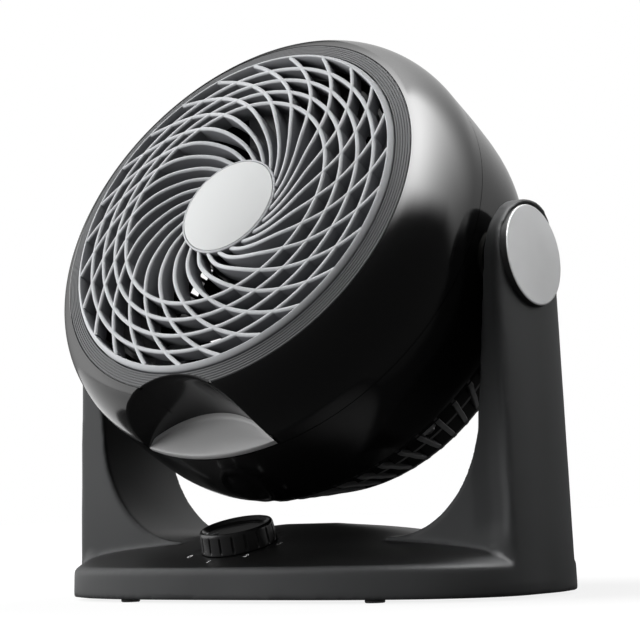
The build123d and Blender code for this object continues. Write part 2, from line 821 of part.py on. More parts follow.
def grille_band():
    """Revolved band that gives ribs and rings their front curve and depth."""
    front = list(grille_front_curve)
    hub = front[-1]
    edge = front[0]
    back = [(hub[0], hub[1] - grille_hub_depth), (grille_ring_radii[0], front[4][1] - grille_hub_depth),
            (skirt_radius() - grille_skirt_wall / 2, edge[1] - grille_edge_depth)]
    edges = Line((0, hub[1]), hub) + Spline(*reversed(front)) + Line(edge, back[2])
    edges += Line(back[2], back[1]) + Line(back[1], back[0])
    plate_back = hub[1] - grille_hub_plate
    edges += Line(back[0], (hub[0], plate_back)) + Line((hub[0], plate_back), (0, plate_back))
    edges += Line((0, plate_back), (0, hub[1]))
    return revolve(Plane.XZ * make_face(edges), Axis.Z)


def front_grille():
    half = grille_inner_ring_width / 2
    pattern = Circle(grille_front_curve[-1][0])
    pattern += [flat_ring(radius + half, radius - half) for radius in grille_ring_radii]
    pattern += spread(rib_face(), grille_rib_count)
    high = grille_front_curve[5][1] + 5
    grille = extrude(Pos(0, 0, high - 50) * pattern, 50, dir=(0, 0, 1)) & grille_band()
    skirt_outer = skirt_radius()
    grille += tube(skirt_outer, skirt_outer - grille_skirt_wall, grille_skirt_back, bezel_front_at)
    grille += tube(grille_radius, skirt_outer - 1, bezel_seat_at, bezel_front_at)
    hook_top = bezel_seat_at - shell_wall - hair
    hook = Box(hook_reach + 1, hook_width, hook_thick)
    hook = Pos(skirt_outer + (hook_reach - 1) / 2, 0, hook_top - hook_thick / 2) * hook
    return grille + spread(hook, hook_count, hook_phase)


def hub_cap():
    low = grille_front_curve[-1][1]
    cap = disc(hub_cap_radius, low, low + hub_cap_thick)
    return fillet(cap.edges().group_by(Axis.Z)[-1], hub_cap_edge)


# ---------------------------------------------------------------- rear grille
def rear_band():
    outer = list(rear_curve)
    across = rear_rib_depth * math.cos(math.radians(rear_side_slope))
    along = rear_rib_depth * math.sin(math.radians(rear_side_slope))
    inner = [(radius - across, height + along) for radius, height in outer[1:5]]
    inner += [(radius - 1, height + rear_rib_depth) for radius, height in outer[5:]]
    top = (outer[0][0] - across, outer[0][1])
    low_height, high_height = outer[-1][1], inner[-1][1]
    edges = Spline(*outer) + Line(outer[-1], (0, low_height)) + Line((0, low_height), (0, high_height))
    edges += Line((0, high_height), inner[-1]) + Spline(top, *inner) + Line(top, outer[0])
    return revolve(Plane.XZ * make_face(edges), Axis.Z)


def rear_grille():
    half = rear_ring_width / 2
    reach = rear_curve[0][0] + 2
    pattern = Circle(rear_plate_radius)
    pattern += [flat_ring(radius + half, radius - half) for radius in rear_ring_radii]
    pitch = 360 / rear_rib_count
    for inner, phase in ((rear_plate_radius - 1, pitch / 2), (rear_short_rib_radius, -pitch / 2)):
        rib = Pos((reach + inner) / 2, 0) * Rectangle(reach - inner, rear_rib_width)
        pattern += spread(rib, rear_rib_count // 2, clip_phase + phase)
    grille = extrude(Pos(0, 0, -90) * pattern, 80, dir=(0, 0, 1)) & rear_band()
    top = rear_curve[0][1]
    grille += tube(rear_curve[0][0] - 1, rear_ring_inner, top - rear_ring_thick, top)
    plate_high = motor_back_at
    grille += disc(rear_plate_radius, rear_curve[-1][1], plate_high)
    cuts = clip_places(bore(top - 10, top + 1))
    low = rear_curve[-1][1]
    cuts += motor_screw_places(bore(low - 1, plate_high + 1))
    cuts += motor_screw_places(disc(screw_head_radius + slip, low - 1, low + motor_screw_sink))
    return grille - cuts


def motor_screw_places(shape):
    return spread(Pos(motor_screw_ring, 0, 0) * shape, motor_screw_count, motor_screw_phase)


def clip_blocks():
    high = rear_curve[0][1] - rear_ring_thick
    block = Pos(0, 0, high - clip_length / 2) * Box(clip_depth, clip_width, clip_length)
    block = fillet(block.edges().filter_by(Axis.Z), clip_edge)
    return Part() + clip_places(block - bore(high - 2 * clip_length, high + 1))


def clip_screws():
    seat = rear_curve[0][1] - rear_ring_thick - clip_length
    one = Pos(0, 0, seat) * screw(clip_length + rear_ring_thick + screw_bite)
    return Part() + clip_places(one)


# ---------------------------------------------------------------- motor
def motor_rear_cover():
    shell = disc(motor_radius, motor_back_at, motor_split_at)
    inside = disc(motor_radius - motor_wall, motor_back_at + motor_wall, motor_split_at + 1)
    holder_high = motor_back_at + bearing_length + 2
    shell -= inside
    shell += disc(bearing_radius + motor_wall, motor_back_at, holder_high)
    shell -= disc(bearing_radius + hair, holder_high - bearing_length, holder_high + 1)
    shell -= disc(shaft_radius + slip, motor_back_at + 0.8, holder_high + 1)
    boss_high = motor_back_at + motor_screw_bite + motor_wall
    bosses = motor_screw_places(disc(screw_radius + boss_wall, motor_back_at, boss_high))
    return shell + bosses - motor_screw_places(bore(motor_back_at - 1, boss_high - 1))


def motor_front_cover():
    shell = disc(motor_radius, motor_split_at, motor_front_at)
    shell -= disc(motor_radius - motor_wall, motor_split_at - 1, motor_front_at - motor_wall)
    shell += disc(bearing_radius + motor_wall, motor_front_at - bearing_length - 2, motor_front_at)
    shell -= disc(bearing_radius + hair, motor_front_at - bearing_length - 3, motor_front_at - 2)
    shell -= disc(shaft_radius + slip, motor_front_at - 10, motor_front_at + 1)
    shell = fillet(shell.edges().group_by(Axis.Z)[-1].sort_by(SortBy.LENGTH)[-1], 1.2)
    vent = Pos(20, 0, motor_front_at) * Box(12, 3, 2 * motor_wall + 2)
    return shell - spread(vent, 8, 22.5)


def stator_middle():
    return (motor_back_at + motor_front_at) / 2


def stator():
    low, high = stator_middle() - stator_length / 2, stator_middle() + stator_length / 2
    body = tube(motor_radius - motor_wall - hair, stator_bore, low, high)
    slot = Pos(stator_slot_ring, 0, 0) * disc(stator_slot_radius, low - 1, high + 1)
    return body - spread(slot, stator_slot_count)


def rotor():
    low, high = stator_middle() - rotor_length / 2, stator_middle() + rotor_length / 2
    return tube(stator_bore - rotor_gap, shaft_radius + hair, low, high)


def bearing(low):
    return tube(bearing_radius, shaft_radius + running, low, low + bearing_length)


def rear_bearing():
    return bearing(motor_back_at + 2)


def front_bearing():
    return bearing(motor_front_at - bearing_length - 2)


def motor_screws():
    seat = rear_curve[-1][1] + motor_screw_sink
    one = Pos(0, 0, seat) * screw(motor_back_at - seat + motor_screw_bite)
    return Part() + motor_screw_places(one)


def motor_shaft():
    return disc(shaft_radius, shaft_back_at, shaft_front_at - 2)


# ---------------------------------------------------------------- impeller
def blade_section(radius, chord, pitch):
    """Cambered blade section on a plane square to the blade's length."""
    half = chord / 2
    top = ThreePointArc((-half, 0), (0, blade_camber + blade_thick / 2), (half, 0))
    low = ThreePointArc((-half, -0.8), (0, blade_camber - blade_thick / 2), (half, -0.8))
    outline = top + low + Line((-half, 0), (-half, -0.8)) + Line((half, 0), (half, -0.8))
    plane = Plane(origin=(radius, 0, blade_mid_at), x_dir=(0, 1, 0), z_dir=(1, 0, 0))
    return plane * Rot(Z=pitch) * make_face(outline)


def blade():
    root = blade_section(hub_radius - hub_wall, blade_root_chord, blade_root_pitch)
    tip = blade_section(blade_tip_radius + 12, blade_tip_chord + 7, blade_tip_pitch - 2)
    ends = disc(blade_tip_radius, 0, 60) - disc(hub_radius - hub_wall / 2, 0, 60)
    return loft([root, tip]) & ends


def impeller():
    hub = disc(hub_radius, hub_back_at, hub_front_at)
    hub = fillet(hub.edges().group_by(Axis.Z)[-1], hub_edge)
    hub -= disc(hub_radius - hub_wall, hub_back_at - 1, hub_front_at - 3)
    hub += disc(hub_core_radius, hub_back_at, hub_front_at - 1)
    web = Box(2 * hub_radius - hub_wall, hub_wall, hub_front_at - hub_back_at - 2 * hub_wall)
    web = Pos(0, 0, (hub_back_at + hub_front_at) / 2) * web
    hub += [Rot(Z=turn) * web for turn in (0, 60, 120)]
    hub += spread(blade(), blade_count, blade_phase)
    return hub - disc(shaft_radius + hair, hub_back_at - 1, hub_front_at + 1)


def spinner():
    low, high = hub_front_at, hub_front_at + spinner_length
    body = turned(((0, low), (spinner_radius, low), (spinner_radius, low + spinner_rim),
                   (spinner_tip_radius, high), (0, high)))
    return body - disc(shaft_radius + hair, low - 1, shaft_front_at - 2 + hair)


# ---------------------------------------------------------------- assembly
stand_nodes = {
    "base_housing": base_housing(),
    "base_plate": base_plate(),
    "right_arm": right_arm(),
    "rubber_feet": rubber_feet(),
    "base_screws": base_screws(),
    "arm_screws": arm_screws(),
    "right_pivot_cap": right_cap(),
    "right_pivot_bush": right_bush(),
    "cord_inlet": cord_inlet(),
    "terminal_block": terminal_block(),
    "motor_capacitor": motor_capacitor(),
    "rotary_switch": rotary_switch(),
    "switch_nut": switch_nut(),
    "switch_shaft": switch_shaft(),
    "control_knob": control_knob(),
}
head_nodes = {
    "front_housing": front_housing(),
    "rear_housing": rear_housing(),
    "duct_ring": duct_ring(),
    "bezel_ring": bezel_ring(),
    "scoop_insert": scoop_insert(),
    "front_grille": front_grille(),
    "hub_cap": hub_cap(),
    "rear_grille": rear_grille(),
    "clip_blocks": clip_blocks(),
    "clip_screws": clip_screws(),
    "housing_screws": housing_screws(),
    "right_trunnion": right_trunnion(),
    "trunnion_screws": trunnion_screws(),
    "right_pivot_spacer": right_spacer(),
    "right_pivot_washer": right_washer(),
    "right_pivot_nut": right_nut(),
    "motor_rear_cover": motor_rear_cover(),
    "motor_front_cover": motor_front_cover(),
    "motor_screws": motor_screws(),
    "stator": stator(),
    "front_bearing": front_bearing(),
    "rear_bearing": rear_bearing(),
    "rotor": rotor(),
    "motor_shaft": motor_shaft(),
    "impeller": impeller(),
    "spinner": spinner(),
}
head_place = Pos(0, 0, pivot_height) * Rot(X=90 - head_tilt)

nodes = dict(stand_nodes)
for name, shape in head_nodes.items():
    nodes[name] = head_place * shape
for name in [name for name in nodes if name.startswith("right_")]:
    nodes[name.replace("right_", "left_")] = mirrored(nodes[name])

boxes = [shape.bounding_box() for shape in nodes.values()]
middle_y = (min(box.min.Y for box in boxes) + max(box.max.Y for box in boxes)) / 2
os.makedirs("parts", exist_ok=True)
for name, shape in nodes.items():
    export_step(Pos(0, -middle_y, 0) * shape, f"parts/{name}.step")
print("middle_y", round(middle_y, 4), "pieces", len(nodes))
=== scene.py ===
import json
import math
import bpy
import numpy as np
from mathutils import Matrix, Vector
from mathutils.bvhtree import BVHTree


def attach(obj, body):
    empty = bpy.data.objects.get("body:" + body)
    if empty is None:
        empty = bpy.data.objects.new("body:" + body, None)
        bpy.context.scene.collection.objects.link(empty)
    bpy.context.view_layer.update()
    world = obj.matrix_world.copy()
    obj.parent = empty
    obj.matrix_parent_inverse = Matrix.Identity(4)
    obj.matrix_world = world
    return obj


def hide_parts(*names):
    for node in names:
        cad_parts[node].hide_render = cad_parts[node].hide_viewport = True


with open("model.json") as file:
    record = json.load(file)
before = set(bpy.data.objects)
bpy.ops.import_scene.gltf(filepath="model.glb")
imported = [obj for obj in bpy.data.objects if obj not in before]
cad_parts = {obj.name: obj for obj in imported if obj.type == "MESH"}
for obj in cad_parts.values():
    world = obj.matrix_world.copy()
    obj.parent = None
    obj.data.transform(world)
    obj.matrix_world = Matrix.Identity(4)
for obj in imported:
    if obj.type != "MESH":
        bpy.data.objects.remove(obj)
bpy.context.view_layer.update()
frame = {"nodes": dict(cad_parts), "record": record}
nodes = frame["nodes"]

MM = 0.001
joints = {item["name"]: item for item in frame["record"]["behaviour"]["joints"]}

# axes of the head as pictured: EX to the right, EV up its face, EN forward along the airflow
PIVOT = Vector(joints["head_tilt"]["pos_m"])
TILT = math.radians(28.5)
EX = Vector((1, 0, 0))
EV = Vector((0, math.sin(TILT), math.cos(TILT)))
EN = Vector((0, -math.cos(TILT), math.sin(TILT)))

# axes of the knob: KX to the right, KY up the sloping panel, KZ out of it
KNOB = Vector(joints["knob_turn"]["pos_m"])
KNOB_LEAN = math.radians(15.4)
KX = Vector((1, 0, 0))
KY = Vector((0, math.cos(KNOB_LEAN), math.sin(KNOB_LEAN)))
KZ = Vector((0, -math.sin(KNOB_LEAN), math.cos(KNOB_LEAN)))


# ------------------------------------------------------------ material helpers
# places of a Mix node's sockets by its kind of data: first value, second value, result
MIX_SOCKETS = {"RGBA": (6, 7, 2), "FLOAT": (2, 3, 0)}
# cosines between which a surface takes on the look of what faces a direction; on the stand's panel and on
# the ribs' sides that look is painted shade
PANEL_SHADE_FACING = (0.84, 0.93)
DISH_FACING = (0.80, 0.95)
RIB_SHADE_FACING = (0.6, 0.0)
CAP_SIDE_FACING = (0.75, 0.5)


class Nodes:
    """Small helper around one material's node tree."""

    def __init__(self, name):
        self.mat = bpy.data.materials.new(name)
        self.mat.use_nodes = True
        self.tree = self.mat.node_tree
        self.bsdf = self.tree.nodes["Principled BSDF"]

    def add(self, kind, **values):
        node = self.tree.nodes.new(kind)
        for key, value in values.items():
            setattr(node, key, value)
        return node

    def link(self, a, b):
        self.tree.links.new(a, b)


def plastic(name, color, rough, spread=0.06, grain=900.0, bump=0.05, depth=0.02 * MM,
            metal=0.0, specular=0.5, blotch=14.0, tone=0.12):
    """Plastic, paint, rubber or metal: colour and gloss that wander a little, over a fine grain."""
    m = Nodes(name)
    coord = m.add("ShaderNodeTexCoord")
    big = m.add("ShaderNodeTexNoise")
    big.inputs["Scale"].default_value = blotch
    big.inputs["Detail"].default_value = 3.0
    m.link(coord.outputs["Object"], big.inputs["Vector"])
    ramp = m.add("ShaderNodeValToRGB")
    low = [c * (1 - tone) for c in color]
    high = [min(1.0, c * (1 + tone)) for c in color]
    ramp.color_ramp.elements[0].position = 0.3
    ramp.color_ramp.elements[0].color = (*low, 1)
    ramp.color_ramp.elements[1].position = 0.7
    ramp.color_ramp.elements[1].color = (*high, 1)
    m.link(big.outputs["Fac"], ramp.inputs["Fac"])
    m.link(ramp.outputs["Color"], m.bsdf.inputs["Base Color"])
    gloss = m.add("ShaderNodeMapRange")
    gloss.inputs["To Min"].default_value = max(0.02, rough - spread)
    gloss.inputs["To Max"].default_value = min(1.0, rough + spread)
    m.link(big.outputs["Fac"], gloss.inputs["Value"])
    m.link(gloss.outputs["Result"], m.bsdf.inputs["Roughness"])
    m.bsdf.inputs["Metallic"].default_value = metal
    m.bsdf.inputs["Specular IOR Level"].default_value = specular
    if bump > 0:
        fine = m.add("ShaderNodeTexNoise")
        fine.inputs["Scale"].default_value = grain
        fine.inputs["Detail"].default_value = 2.0
        m.link(coord.outputs["Object"], fine.inputs["Vector"])
        node = m.add("ShaderNodeBump")
        node.inputs["Strength"].default_value = bump
        node.inputs["Distance"].default_value = depth
        m.link(fine.outputs["Fac"], node.inputs["Height"])
        m.link(node.outputs["Normal"], m.bsdf.inputs["Normal"])
    return m.mat


def facing(tree, direction, low, high, both=False):
    """0 to 1 as the surface turns toward a direction of the object, or also away from it.

    low and high are the cosines at which the mask is 0 and 1.
    """
    coord = tree.nodes.new("ShaderNodeTexCoord")
    toward = tree.nodes.new("ShaderNodeVectorMath")
    toward.operation = "DOT_PRODUCT"
    toward.inputs[1].default_value = direction
    tree.links.new(coord.outputs["Normal"], toward.inputs[0])
    step = tree.nodes.new("ShaderNodeMapRange")
    step.interpolation_type = "SMOOTHSTEP"
    step.inputs["From Min"].default_value = low
    step.inputs["From Max"].default_value = high
    value = toward.outputs["Value"]
    if both:
        size = tree.nodes.new("ShaderNodeMath")
        size.operation = "ABSOLUTE"
        tree.links.new(value, size.inputs[0])
        value = size.outputs[0]
    tree.links.new(value, step.inputs["Value"])
    return step.outputs["Result"]


def blend(mat, mask, color=None, rough=None):
    """Change a material's colour and gloss where a mask is 1."""
    tree = mat.node_tree
    bsdf = tree.nodes["Principled BSDF"]
    for socket, kind, value in (("Base Color", "RGBA", color), ("Roughness", "FLOAT", rough)):
        if value is None:
            continue
        mix = tree.nodes.new("ShaderNodeMix")
        mix.data_type = kind
        first, second, out = MIX_SOCKETS[kind]
        tree.links.new(mask, mix.inputs[0])
        tree.links.new(bsdf.inputs[socket].links[0].from_socket, mix.inputs[first])
        mix.inputs[second].default_value = (*value, 1) if kind == "RGBA" else value
        tree.links.new(mix.outputs[out], bsdf.inputs[socket])


def stand_plastic(name, color, rough, panel_shade_color, panel_rough, panel_top=40 * MM):
    """Satin stand, polished and darkened with painted shade where it faces up lower than the top of the
    panel.
    """
    mat = plastic(name, color, rough, specular=0.25, bump=0.15, depth=0.03 * MM, grain=1500.0)
    tree = mat.node_tree
    coord = tree.nodes.new("ShaderNodeTexCoord")
    axes = tree.nodes.new("ShaderNodeSeparateXYZ")
    tree.links.new(coord.outputs["Object"], axes.inputs[0])
    low_down = tree.nodes.new("ShaderNodeMath")
    low_down.operation = "LESS_THAN"
    low_down.inputs[1].default_value = panel_top
    tree.links.new(axes.outputs["Z"], low_down.inputs[0])
    # panel is the mask of painted shade under the head: faces turned up, below the top of the panel
    panel = tree.nodes.new("ShaderNodeMath")
    panel.operation = "MULTIPLY"
    tree.links.new(facing(tree, (0, 0, 1), *PANEL_SHADE_FACING), panel.inputs[0])
    tree.links.new(low_down.outputs[0], panel.inputs[1])
    blend(mat, panel.outputs[0], panel_shade_color, panel_rough)
    return mat


def rib_paint_with_painted_shade(name, crown, side, rough):
    """Silver paint on the crowns of the ribs, darkened on their sides by painted shade."""
    mat = plastic(name, crown, rough, bump=0.05, specular=0.2, tone=0.04)
    # side is the colour of painted shade on the ribs' sides, where they turn away from the front
    blend(mat, facing(mat.node_tree, EN, *RIB_SHADE_FACING), side)
    return mat


def knob_plastic(name, color, rough, dish_color, dish_rough):
    """Satin rim round a black polished dish."""
    mat = plastic(name, color, rough, spread=0.03, bump=0.05, specular=0.4)
    blend(mat, facing(mat.node_tree, KZ, *DISH_FACING), dish_color, dish_rough)
    return mat


def cap_plastic(name, color, rough, side):
    """Pale disc with a dark rim."""
    mat = plastic(name, color, rough, metal=0.35, bump=0.05)
    blend(mat, facing(mat.node_tree, EX, *CAP_SIDE_FACING, both=True), side)
    return mat


MATS = {
    # the stand's second colour is painted shade on its panel under the head; its lower roughness is a real
    # polish
    "stand_charcoal": stand_plastic("stand_charcoal", (0.041, 0.042, 0.043), 0.46,
                                    (0.006, 0.006, 0.006), 0.36),
    "shell_gloss_black": plastic("shell_gloss_black", (0.004, 0.004, 0.0042), 0.13, spread=0.02, bump=0.0),
    "rear_charcoal": plastic("rear_charcoal", (0.008, 0.008, 0.008), 0.42, bump=0.1, specular=0.3),
    "bezel_gray": plastic("bezel_gray", (0.14, 0.142, 0.145), 0.5, bump=0.05, specular=0.12, tone=0.05),
    # the insert's grey is lifted above its own tone, partly painted light for the light the scoop's wall
    # keeps off it
    "insert_gray": plastic("insert_gray", (0.36, 0.36, 0.362), 0.34, bump=0.1, tone=0.05),
    # the second grey is painted shade on the sides of the ribs, rings and rim
    "grille_silver": rib_paint_with_painted_shade("grille_silver", (0.52, 0.53, 0.545), (0.17, 0.174, 0.185), 0.55),
    "hub_cap_silver": plastic("hub_cap_silver", (0.63, 0.64, 0.64), 0.5, specular=0.2, bump=0.05, tone=0.03),
    "pivot_cap_gray": cap_plastic("pivot_cap_gray", (0.72, 0.725, 0.73), 0.42, (0.03, 0.03, 0.03)),
    # the rear ribs are of the rear grille's charcoal plastic, painted lighter: painted light on their lit
    # faces
    "rear_ribs": plastic("rear_ribs", (0.10, 0.101, 0.104), 0.4, bump=0.1),
    "impeller_gray": plastic("impeller_gray", (0.05, 0.051, 0.055), 0.35, bump=0.05),
    "knob_black": knob_plastic("knob_black", (0.022, 0.022, 0.0225), 0.22, (0.004, 0.004, 0.004), 0.1),
    "foot_rubber": plastic("foot_rubber", (0.02, 0.02, 0.02), 0.8, bump=0.3),
    "bearing_nylon": plastic("bearing_nylon", (0.55, 0.54, 0.50), 0.5),
    "electrical_plastic": plastic("electrical_plastic", (0.15, 0.15, 0.145), 0.5),
    "fastener_steel": plastic("fastener_steel", (0.55, 0.55, 0.55), 0.3, metal=1.0),
    "motor_steel": plastic("motor_steel", (0.2, 0.2, 0.21), 0.4, metal=0.8),
    "print_white": plastic("print_white", (0.75, 0.75, 0.75), 0.5),
    "motor_shell": plastic("motor_shell", (0.06, 0.06, 0.06), 0.4),
}

# the nodes that no dressed piece replaces take the looks of their slots
for item in frame["record"]["subparts"]:
    node = nodes[item["node"]]
    node.data.materials.clear()
    node.data.materials.append(MATS[item["material_slot"]])


# ------------------------------------------------------------ mesh helpers
def head_point(x, y, h):
    """Point of the head in millimetres: x to the right, y up its face, h forward along its axis."""
    return PIVOT + (EX * x + EV * y + EN * h) * MM


def round_point(radius, turn, h):
    """Point of the head by radius and angle about its axis."""
    return head_point(radius * math.cos(turn), radius * math.sin(turn), h)


def turned_rows(profile, steps):
    """Rows of points of a (radius, height) profile turned all the way round the head's axis."""
    return [[round_point(q, 2 * math.pi * i / steps, h) for q, h in profile] for i in range(steps)]


def make_piece(name, verts, faces, slot, body, sharp=40.0, replaces=()):
    """Mesh object with smooth faces and edges sharper than an angle kept crisp."""
    mesh = bpy.data.meshes.new(name)
    mesh.from_pydata([tuple(v) for v in verts], [], faces)
    mesh.update()
    for poly in mesh.polygons:
        poly.use_smooth = True
    mesh.set_sharp_from_angle(angle=math.radians(sharp))
    obj = bpy.data.objects.new(name, mesh)
    bpy.context.scene.collection.objects.link(obj)
    mesh.materials.append(MATS[slot])
    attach(obj, body)
    if replaces:
        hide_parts(*replaces)


class Builder:
    """Collects vertices and faces of one piece."""

    def __init__(self):
        self.verts = []
        self.faces = []

    def loops(self, rows, close_row=True, close_all=False, caps=False):
        """Join rows of points, each row as long as the others, with quads."""
        start = len(self.verts)
        n = len(rows[0])
        for row in rows:
            self.verts += row
        count = len(rows)
        for i in range(count if close_all else count - 1):
            a, b = start + i * n, start + ((i + 1) % count) * n
            for j in range(n if close_row else n - 1):
                k = (j + 1) % n
                self.faces.append((a + j, a + k, b + k, b + j))
        if caps:
            self.faces.append(tuple(start + j for j in reversed(range(n))))
            self.faces.append(tuple(start + (count - 1) * n + j for j in range(n)))


def smooth(a, b, x):
    """0 to 1 as x goes from a to b, level at both ends."""
    t = min(1.0, max(0.0, (x - a) / (b - a)))
    return t * t * (3 - 2 * t)


def between(points, x):
    """Straight lines through (x, y) points, level before the first and after the last."""
    for (x0, y0), (x1, y1) in zip(points, points[1:]):
        if x <= x1:
            return y0 + (y1 - y0) * max(0.0, x - x0) / (x1 - x0)
    return points[-1][1]


def curve_at(points, r):
    """Smooth height of a profile of (radius, height) points, in rising radius, at r."""
    if r <= points[0][0]:
        return points[0][1]
    if r >= points[-1][0]:
        return points[-1][1]
    i = max(k for k in range(len(points) - 1) if points[k][0] <= r)
    (x0, y0), (x1, y1) = points[i], points[i + 1]
    before = points[i - 1] if i else (2 * x0 - x1, 2 * y0 - y1)
    after = points[i + 2] if i + 2 < len(points) else (2 * x1 - x0, 2 * y1 - y0)
    m0 = (y1 - before[1]) / (x1 - before[0]) * (x1 - x0)
    m1 = (after[1] - y0) / (after[0] - x0) * (x1 - x0)
    t = (r - x0) / (x1 - x0)
    return ((2 * t**3 - 3 * t**2 + 1) * y0 + (t**3 - 2 * t**2 + t) * m0
            + (-2 * t**3 + 3 * t**2) * y1 + (t**3 - t**2) * m1)


# ------------------------------------------------------------ front grille
# radii about the head's axis and heights along it are in millimetres, heights from the pivot
CENTRE_R = 0.01
HUB_R = 26.6
CAP_R = 25.3
CAP_TOP = 66.85
GRILLE_FRONT = [(HUB_R, 65.9), (37.0, 69.3), (47.5, 71.8), (57.0, 71.1), (64.8, 69.5), (72.7, 68.3),
                (80.6, 67.0), (88.3, 66.5)]
GRILLE_BACK = [(26.0, 57.0), (56.6, 62.3), (87.0, 58.9)]
GRILLE_RINGS = (57.0, 64.8, 72.7, 80.6)
RING_DROP = 0.02
GRILLE_RIM = [(88.0, 56.4), (88.2, 57.0), (88.2, 60.9), (90.1, 60.9), (90.35, 63.6), (90.35, 64.1),
              (90.15, 64.8), (89.7, 65.5), (89.0, 66.2), (88.25, 66.6), (87.95, 66.5), (87.75, 66.1),
              (87.3, 57.0), (87.5, 56.4)]
GRILLE_HUB = [(CENTRE_R, 62.8), (HUB_R, 62.8), (HUB_R, 65.9), (HUB_R - 0.12, 66.3), (HUB_R - 0.4, 66.52),
              (CAP_R + 0.42, 66.6), (CAP_R + 0.3, 66.45), (CAP_R + 0.3, 65.5), (CENTRE_R, 65.5)]
CAP_PROFILE = [(CENTRE_R, 65.4), (CAP_R, 65.4), (CAP_R, CAP_TOP - 0.35), (CAP_R - 0.1, CAP_TOP - 0.15),
               (CAP_R - 0.4, CAP_TOP - 0.05), (CENTRE_R, CAP_TOP)]
RIBS = 25
RIB_INNER, RIB_OUTER = HUB_R - 0.4, 88.0
RIB_HALF = 1.08
# half of a rib's section from its crest to its foot: (share of the half width, drop below the crest)
RIB_CREST = [(0.25, 0.03), (0.62, 0.2), (0.92, 0.62), (1.0, 1.3)]
RIB_FOOT = 0.8
# a rib turns evenly with its radius, curls back inside CURL_R, and bends a little between two bands
RIB_TURN, RIB_TURN_R, TURN_PER_MM = 8.0, 56.6, 1.08
CURL, CURL_R = 0.0267, 50.0
BEND, BEND_IN, BEND_OUT = 1.3, (27, 35), (42, 58)
RIB_STEPS, RING_STEPS, RIM_STEPS = 44, 180, 240


def rib_section(top, low):
    """Blade with a half-round front: (across, height) points."""
    right = [(RIB_HALF * share, top - drop) for share, drop in RIB_CREST] + [(RIB_HALF * RIB_FOOT, low)]
    return [(-across, height) for across, height in reversed(right)] + right


def rib_angle(radius):
    """Degrees round the head's axis that the first rib has reached at a radius."""
    sweep = RIB_TURN + TURN_PER_MM * (radius - RIB_TURN_R) - CURL * max(0.0, CURL_R - radius) ** 2
    return sweep - BEND * smooth(*BEND_IN, radius) * (1 - smooth(*BEND_OUT, radius))


def rib_rows(k):
    """Sections along rib k, from the hub to the rim."""
    path = []
    for i in range(RIB_STEPS + 1):
        radius = RIB_INNER + (RIB_OUTER - RIB_INNER) * i / RIB_STEPS
        turn = math.radians(rib_angle(radius) + 360 / RIBS * k)
        path.append((radius * math.cos(turn), radius * math.sin(turn), radius))
    rows = []
    for i, (x, y, radius) in enumerate(path):
        before, after = path[max(i - 1, 0)], path[min(i + 1, RIB_STEPS)]
        run, rise = after[0] - before[0], after[1] - before[1]
        length = math.hypot(run, rise)
        nx, ny = -rise / length, run / length
        section = rib_section(curve_at(GRILLE_FRONT, radius), between(GRILLE_BACK, radius))
        rows.append([head_point(x + nx * s, y + ny * s, h) for s, h in section])
    return rows


def build_grille():
    """Curved ribs, rings, rim and hub as one piece."""
    b = Builder()
    for k in range(RIBS):
        b.loops(rib_rows(k), caps=True)
    for radius in GRILLE_RINGS:
        section = rib_section(curve_at(GRILLE_FRONT, radius) - RING_DROP, between(GRILLE_BACK, radius))
        b.loops(turned_rows([(radius + s, h) for s, h in section], RING_STEPS), close_all=True)
    b.loops(turned_rows(GRILLE_RIM, RIM_STEPS), close_all=True)
    b.loops(turned_rows(GRILLE_HUB, RIM_STEPS), close_all=True, close_row=False)
    make_piece("grille_dressed", b.verts, b.faces, "grille_silver", "head", replaces=("front_grille",))


def build_hub_cap():
    """Bare disc let into the middle of the grille, with a fine gap round it."""
    b = Builder()
    b.loops(turned_rows(CAP_PROFILE, RING_STEPS), close_all=True, close_row=False)
    make_piece("hub_cap_dressed", b.verts, b.faces, "hub_cap_silver", "head", replaces=("hub_cap",))


build_grille()
build_hub_cap()


# ------------------------------------------------------------ shells round the head
# the scoop is cut by a cylinder that reaches to SCOOP_REACH from the head's axis, on its lower side
SCOOP_R = 54.0
SCOOP_REACH = 92.3
SCOOP_CENTRE = SCOOP_REACH + SCOOP_R
SCOOP_FLOOR = 28.0
# its wall starts a little under its floor
WALL_SUNK = 1.5
WALL_STEPS, WALL_RISE = 96, 12
# its rolled edge, as shares of ROLL: (out from the wall, down from the surface)
ROLL = 1.3
ROLL_POINTS = [(0.0, 1.0), (0.08, 0.6), (0.29, 0.29), (0.6, 0.08), (1.0, 0.0)]
# the edge follows the shoulder from this height up, and goes no lower than EDGE_LOW
EDGE_FROM, EDGE_LOW = 36.0, 33.0

# outer surface of the front: straight side of the shell, elliptical shoulder, sloping bezel
SHELL_R = 113.8
SHELL_STEPS = 288
# the scoop opens above LIP; under it the shell is a whole ring
LIP = 25.4
LIP_GAP = 0.02
BACK_EDGE = LIP - 0.7
BACK_R = (111.5, 113.5)
# centre of the ellipse as (radius, height), its rise, and the angle at which the bezel cuts it off
SHOULDER = (93.0, 31.0)
SHOULDER_RISE = 31.95
SHOULDER_TOP = math.radians(75.8)
SIDE_TOP = SHOULDER[1] - 3
# the shell's edge beside the bezel, the seat under the bezel and the inner wall
SEAT = 60.7
SEAM = [(97.95, 61.8), (97.9, SEAT)]
FLANGE = [(97.9, SEAT), (90.6, SEAT), (88.3, SEAT), (88.3, 58.0)]
BEZEL_INNER, BEZEL_RISE = 90.95, 64.1
BEZEL_OUTER, BEZEL_FALL = 97.8, 62.0
BEZEL_CORNER, BEZEL_GAP = (0.15, 0.2), 0.1
BEZEL_GROOVES = 6
# a groove lies at this share of its pitch; its section is (shift in radius, drop)
GROOVE_PLACE = 0.85
GROOVE = ((-0.28, 0), (-0.14, 0.4), (0.10, 0.4), (0.22, 0))

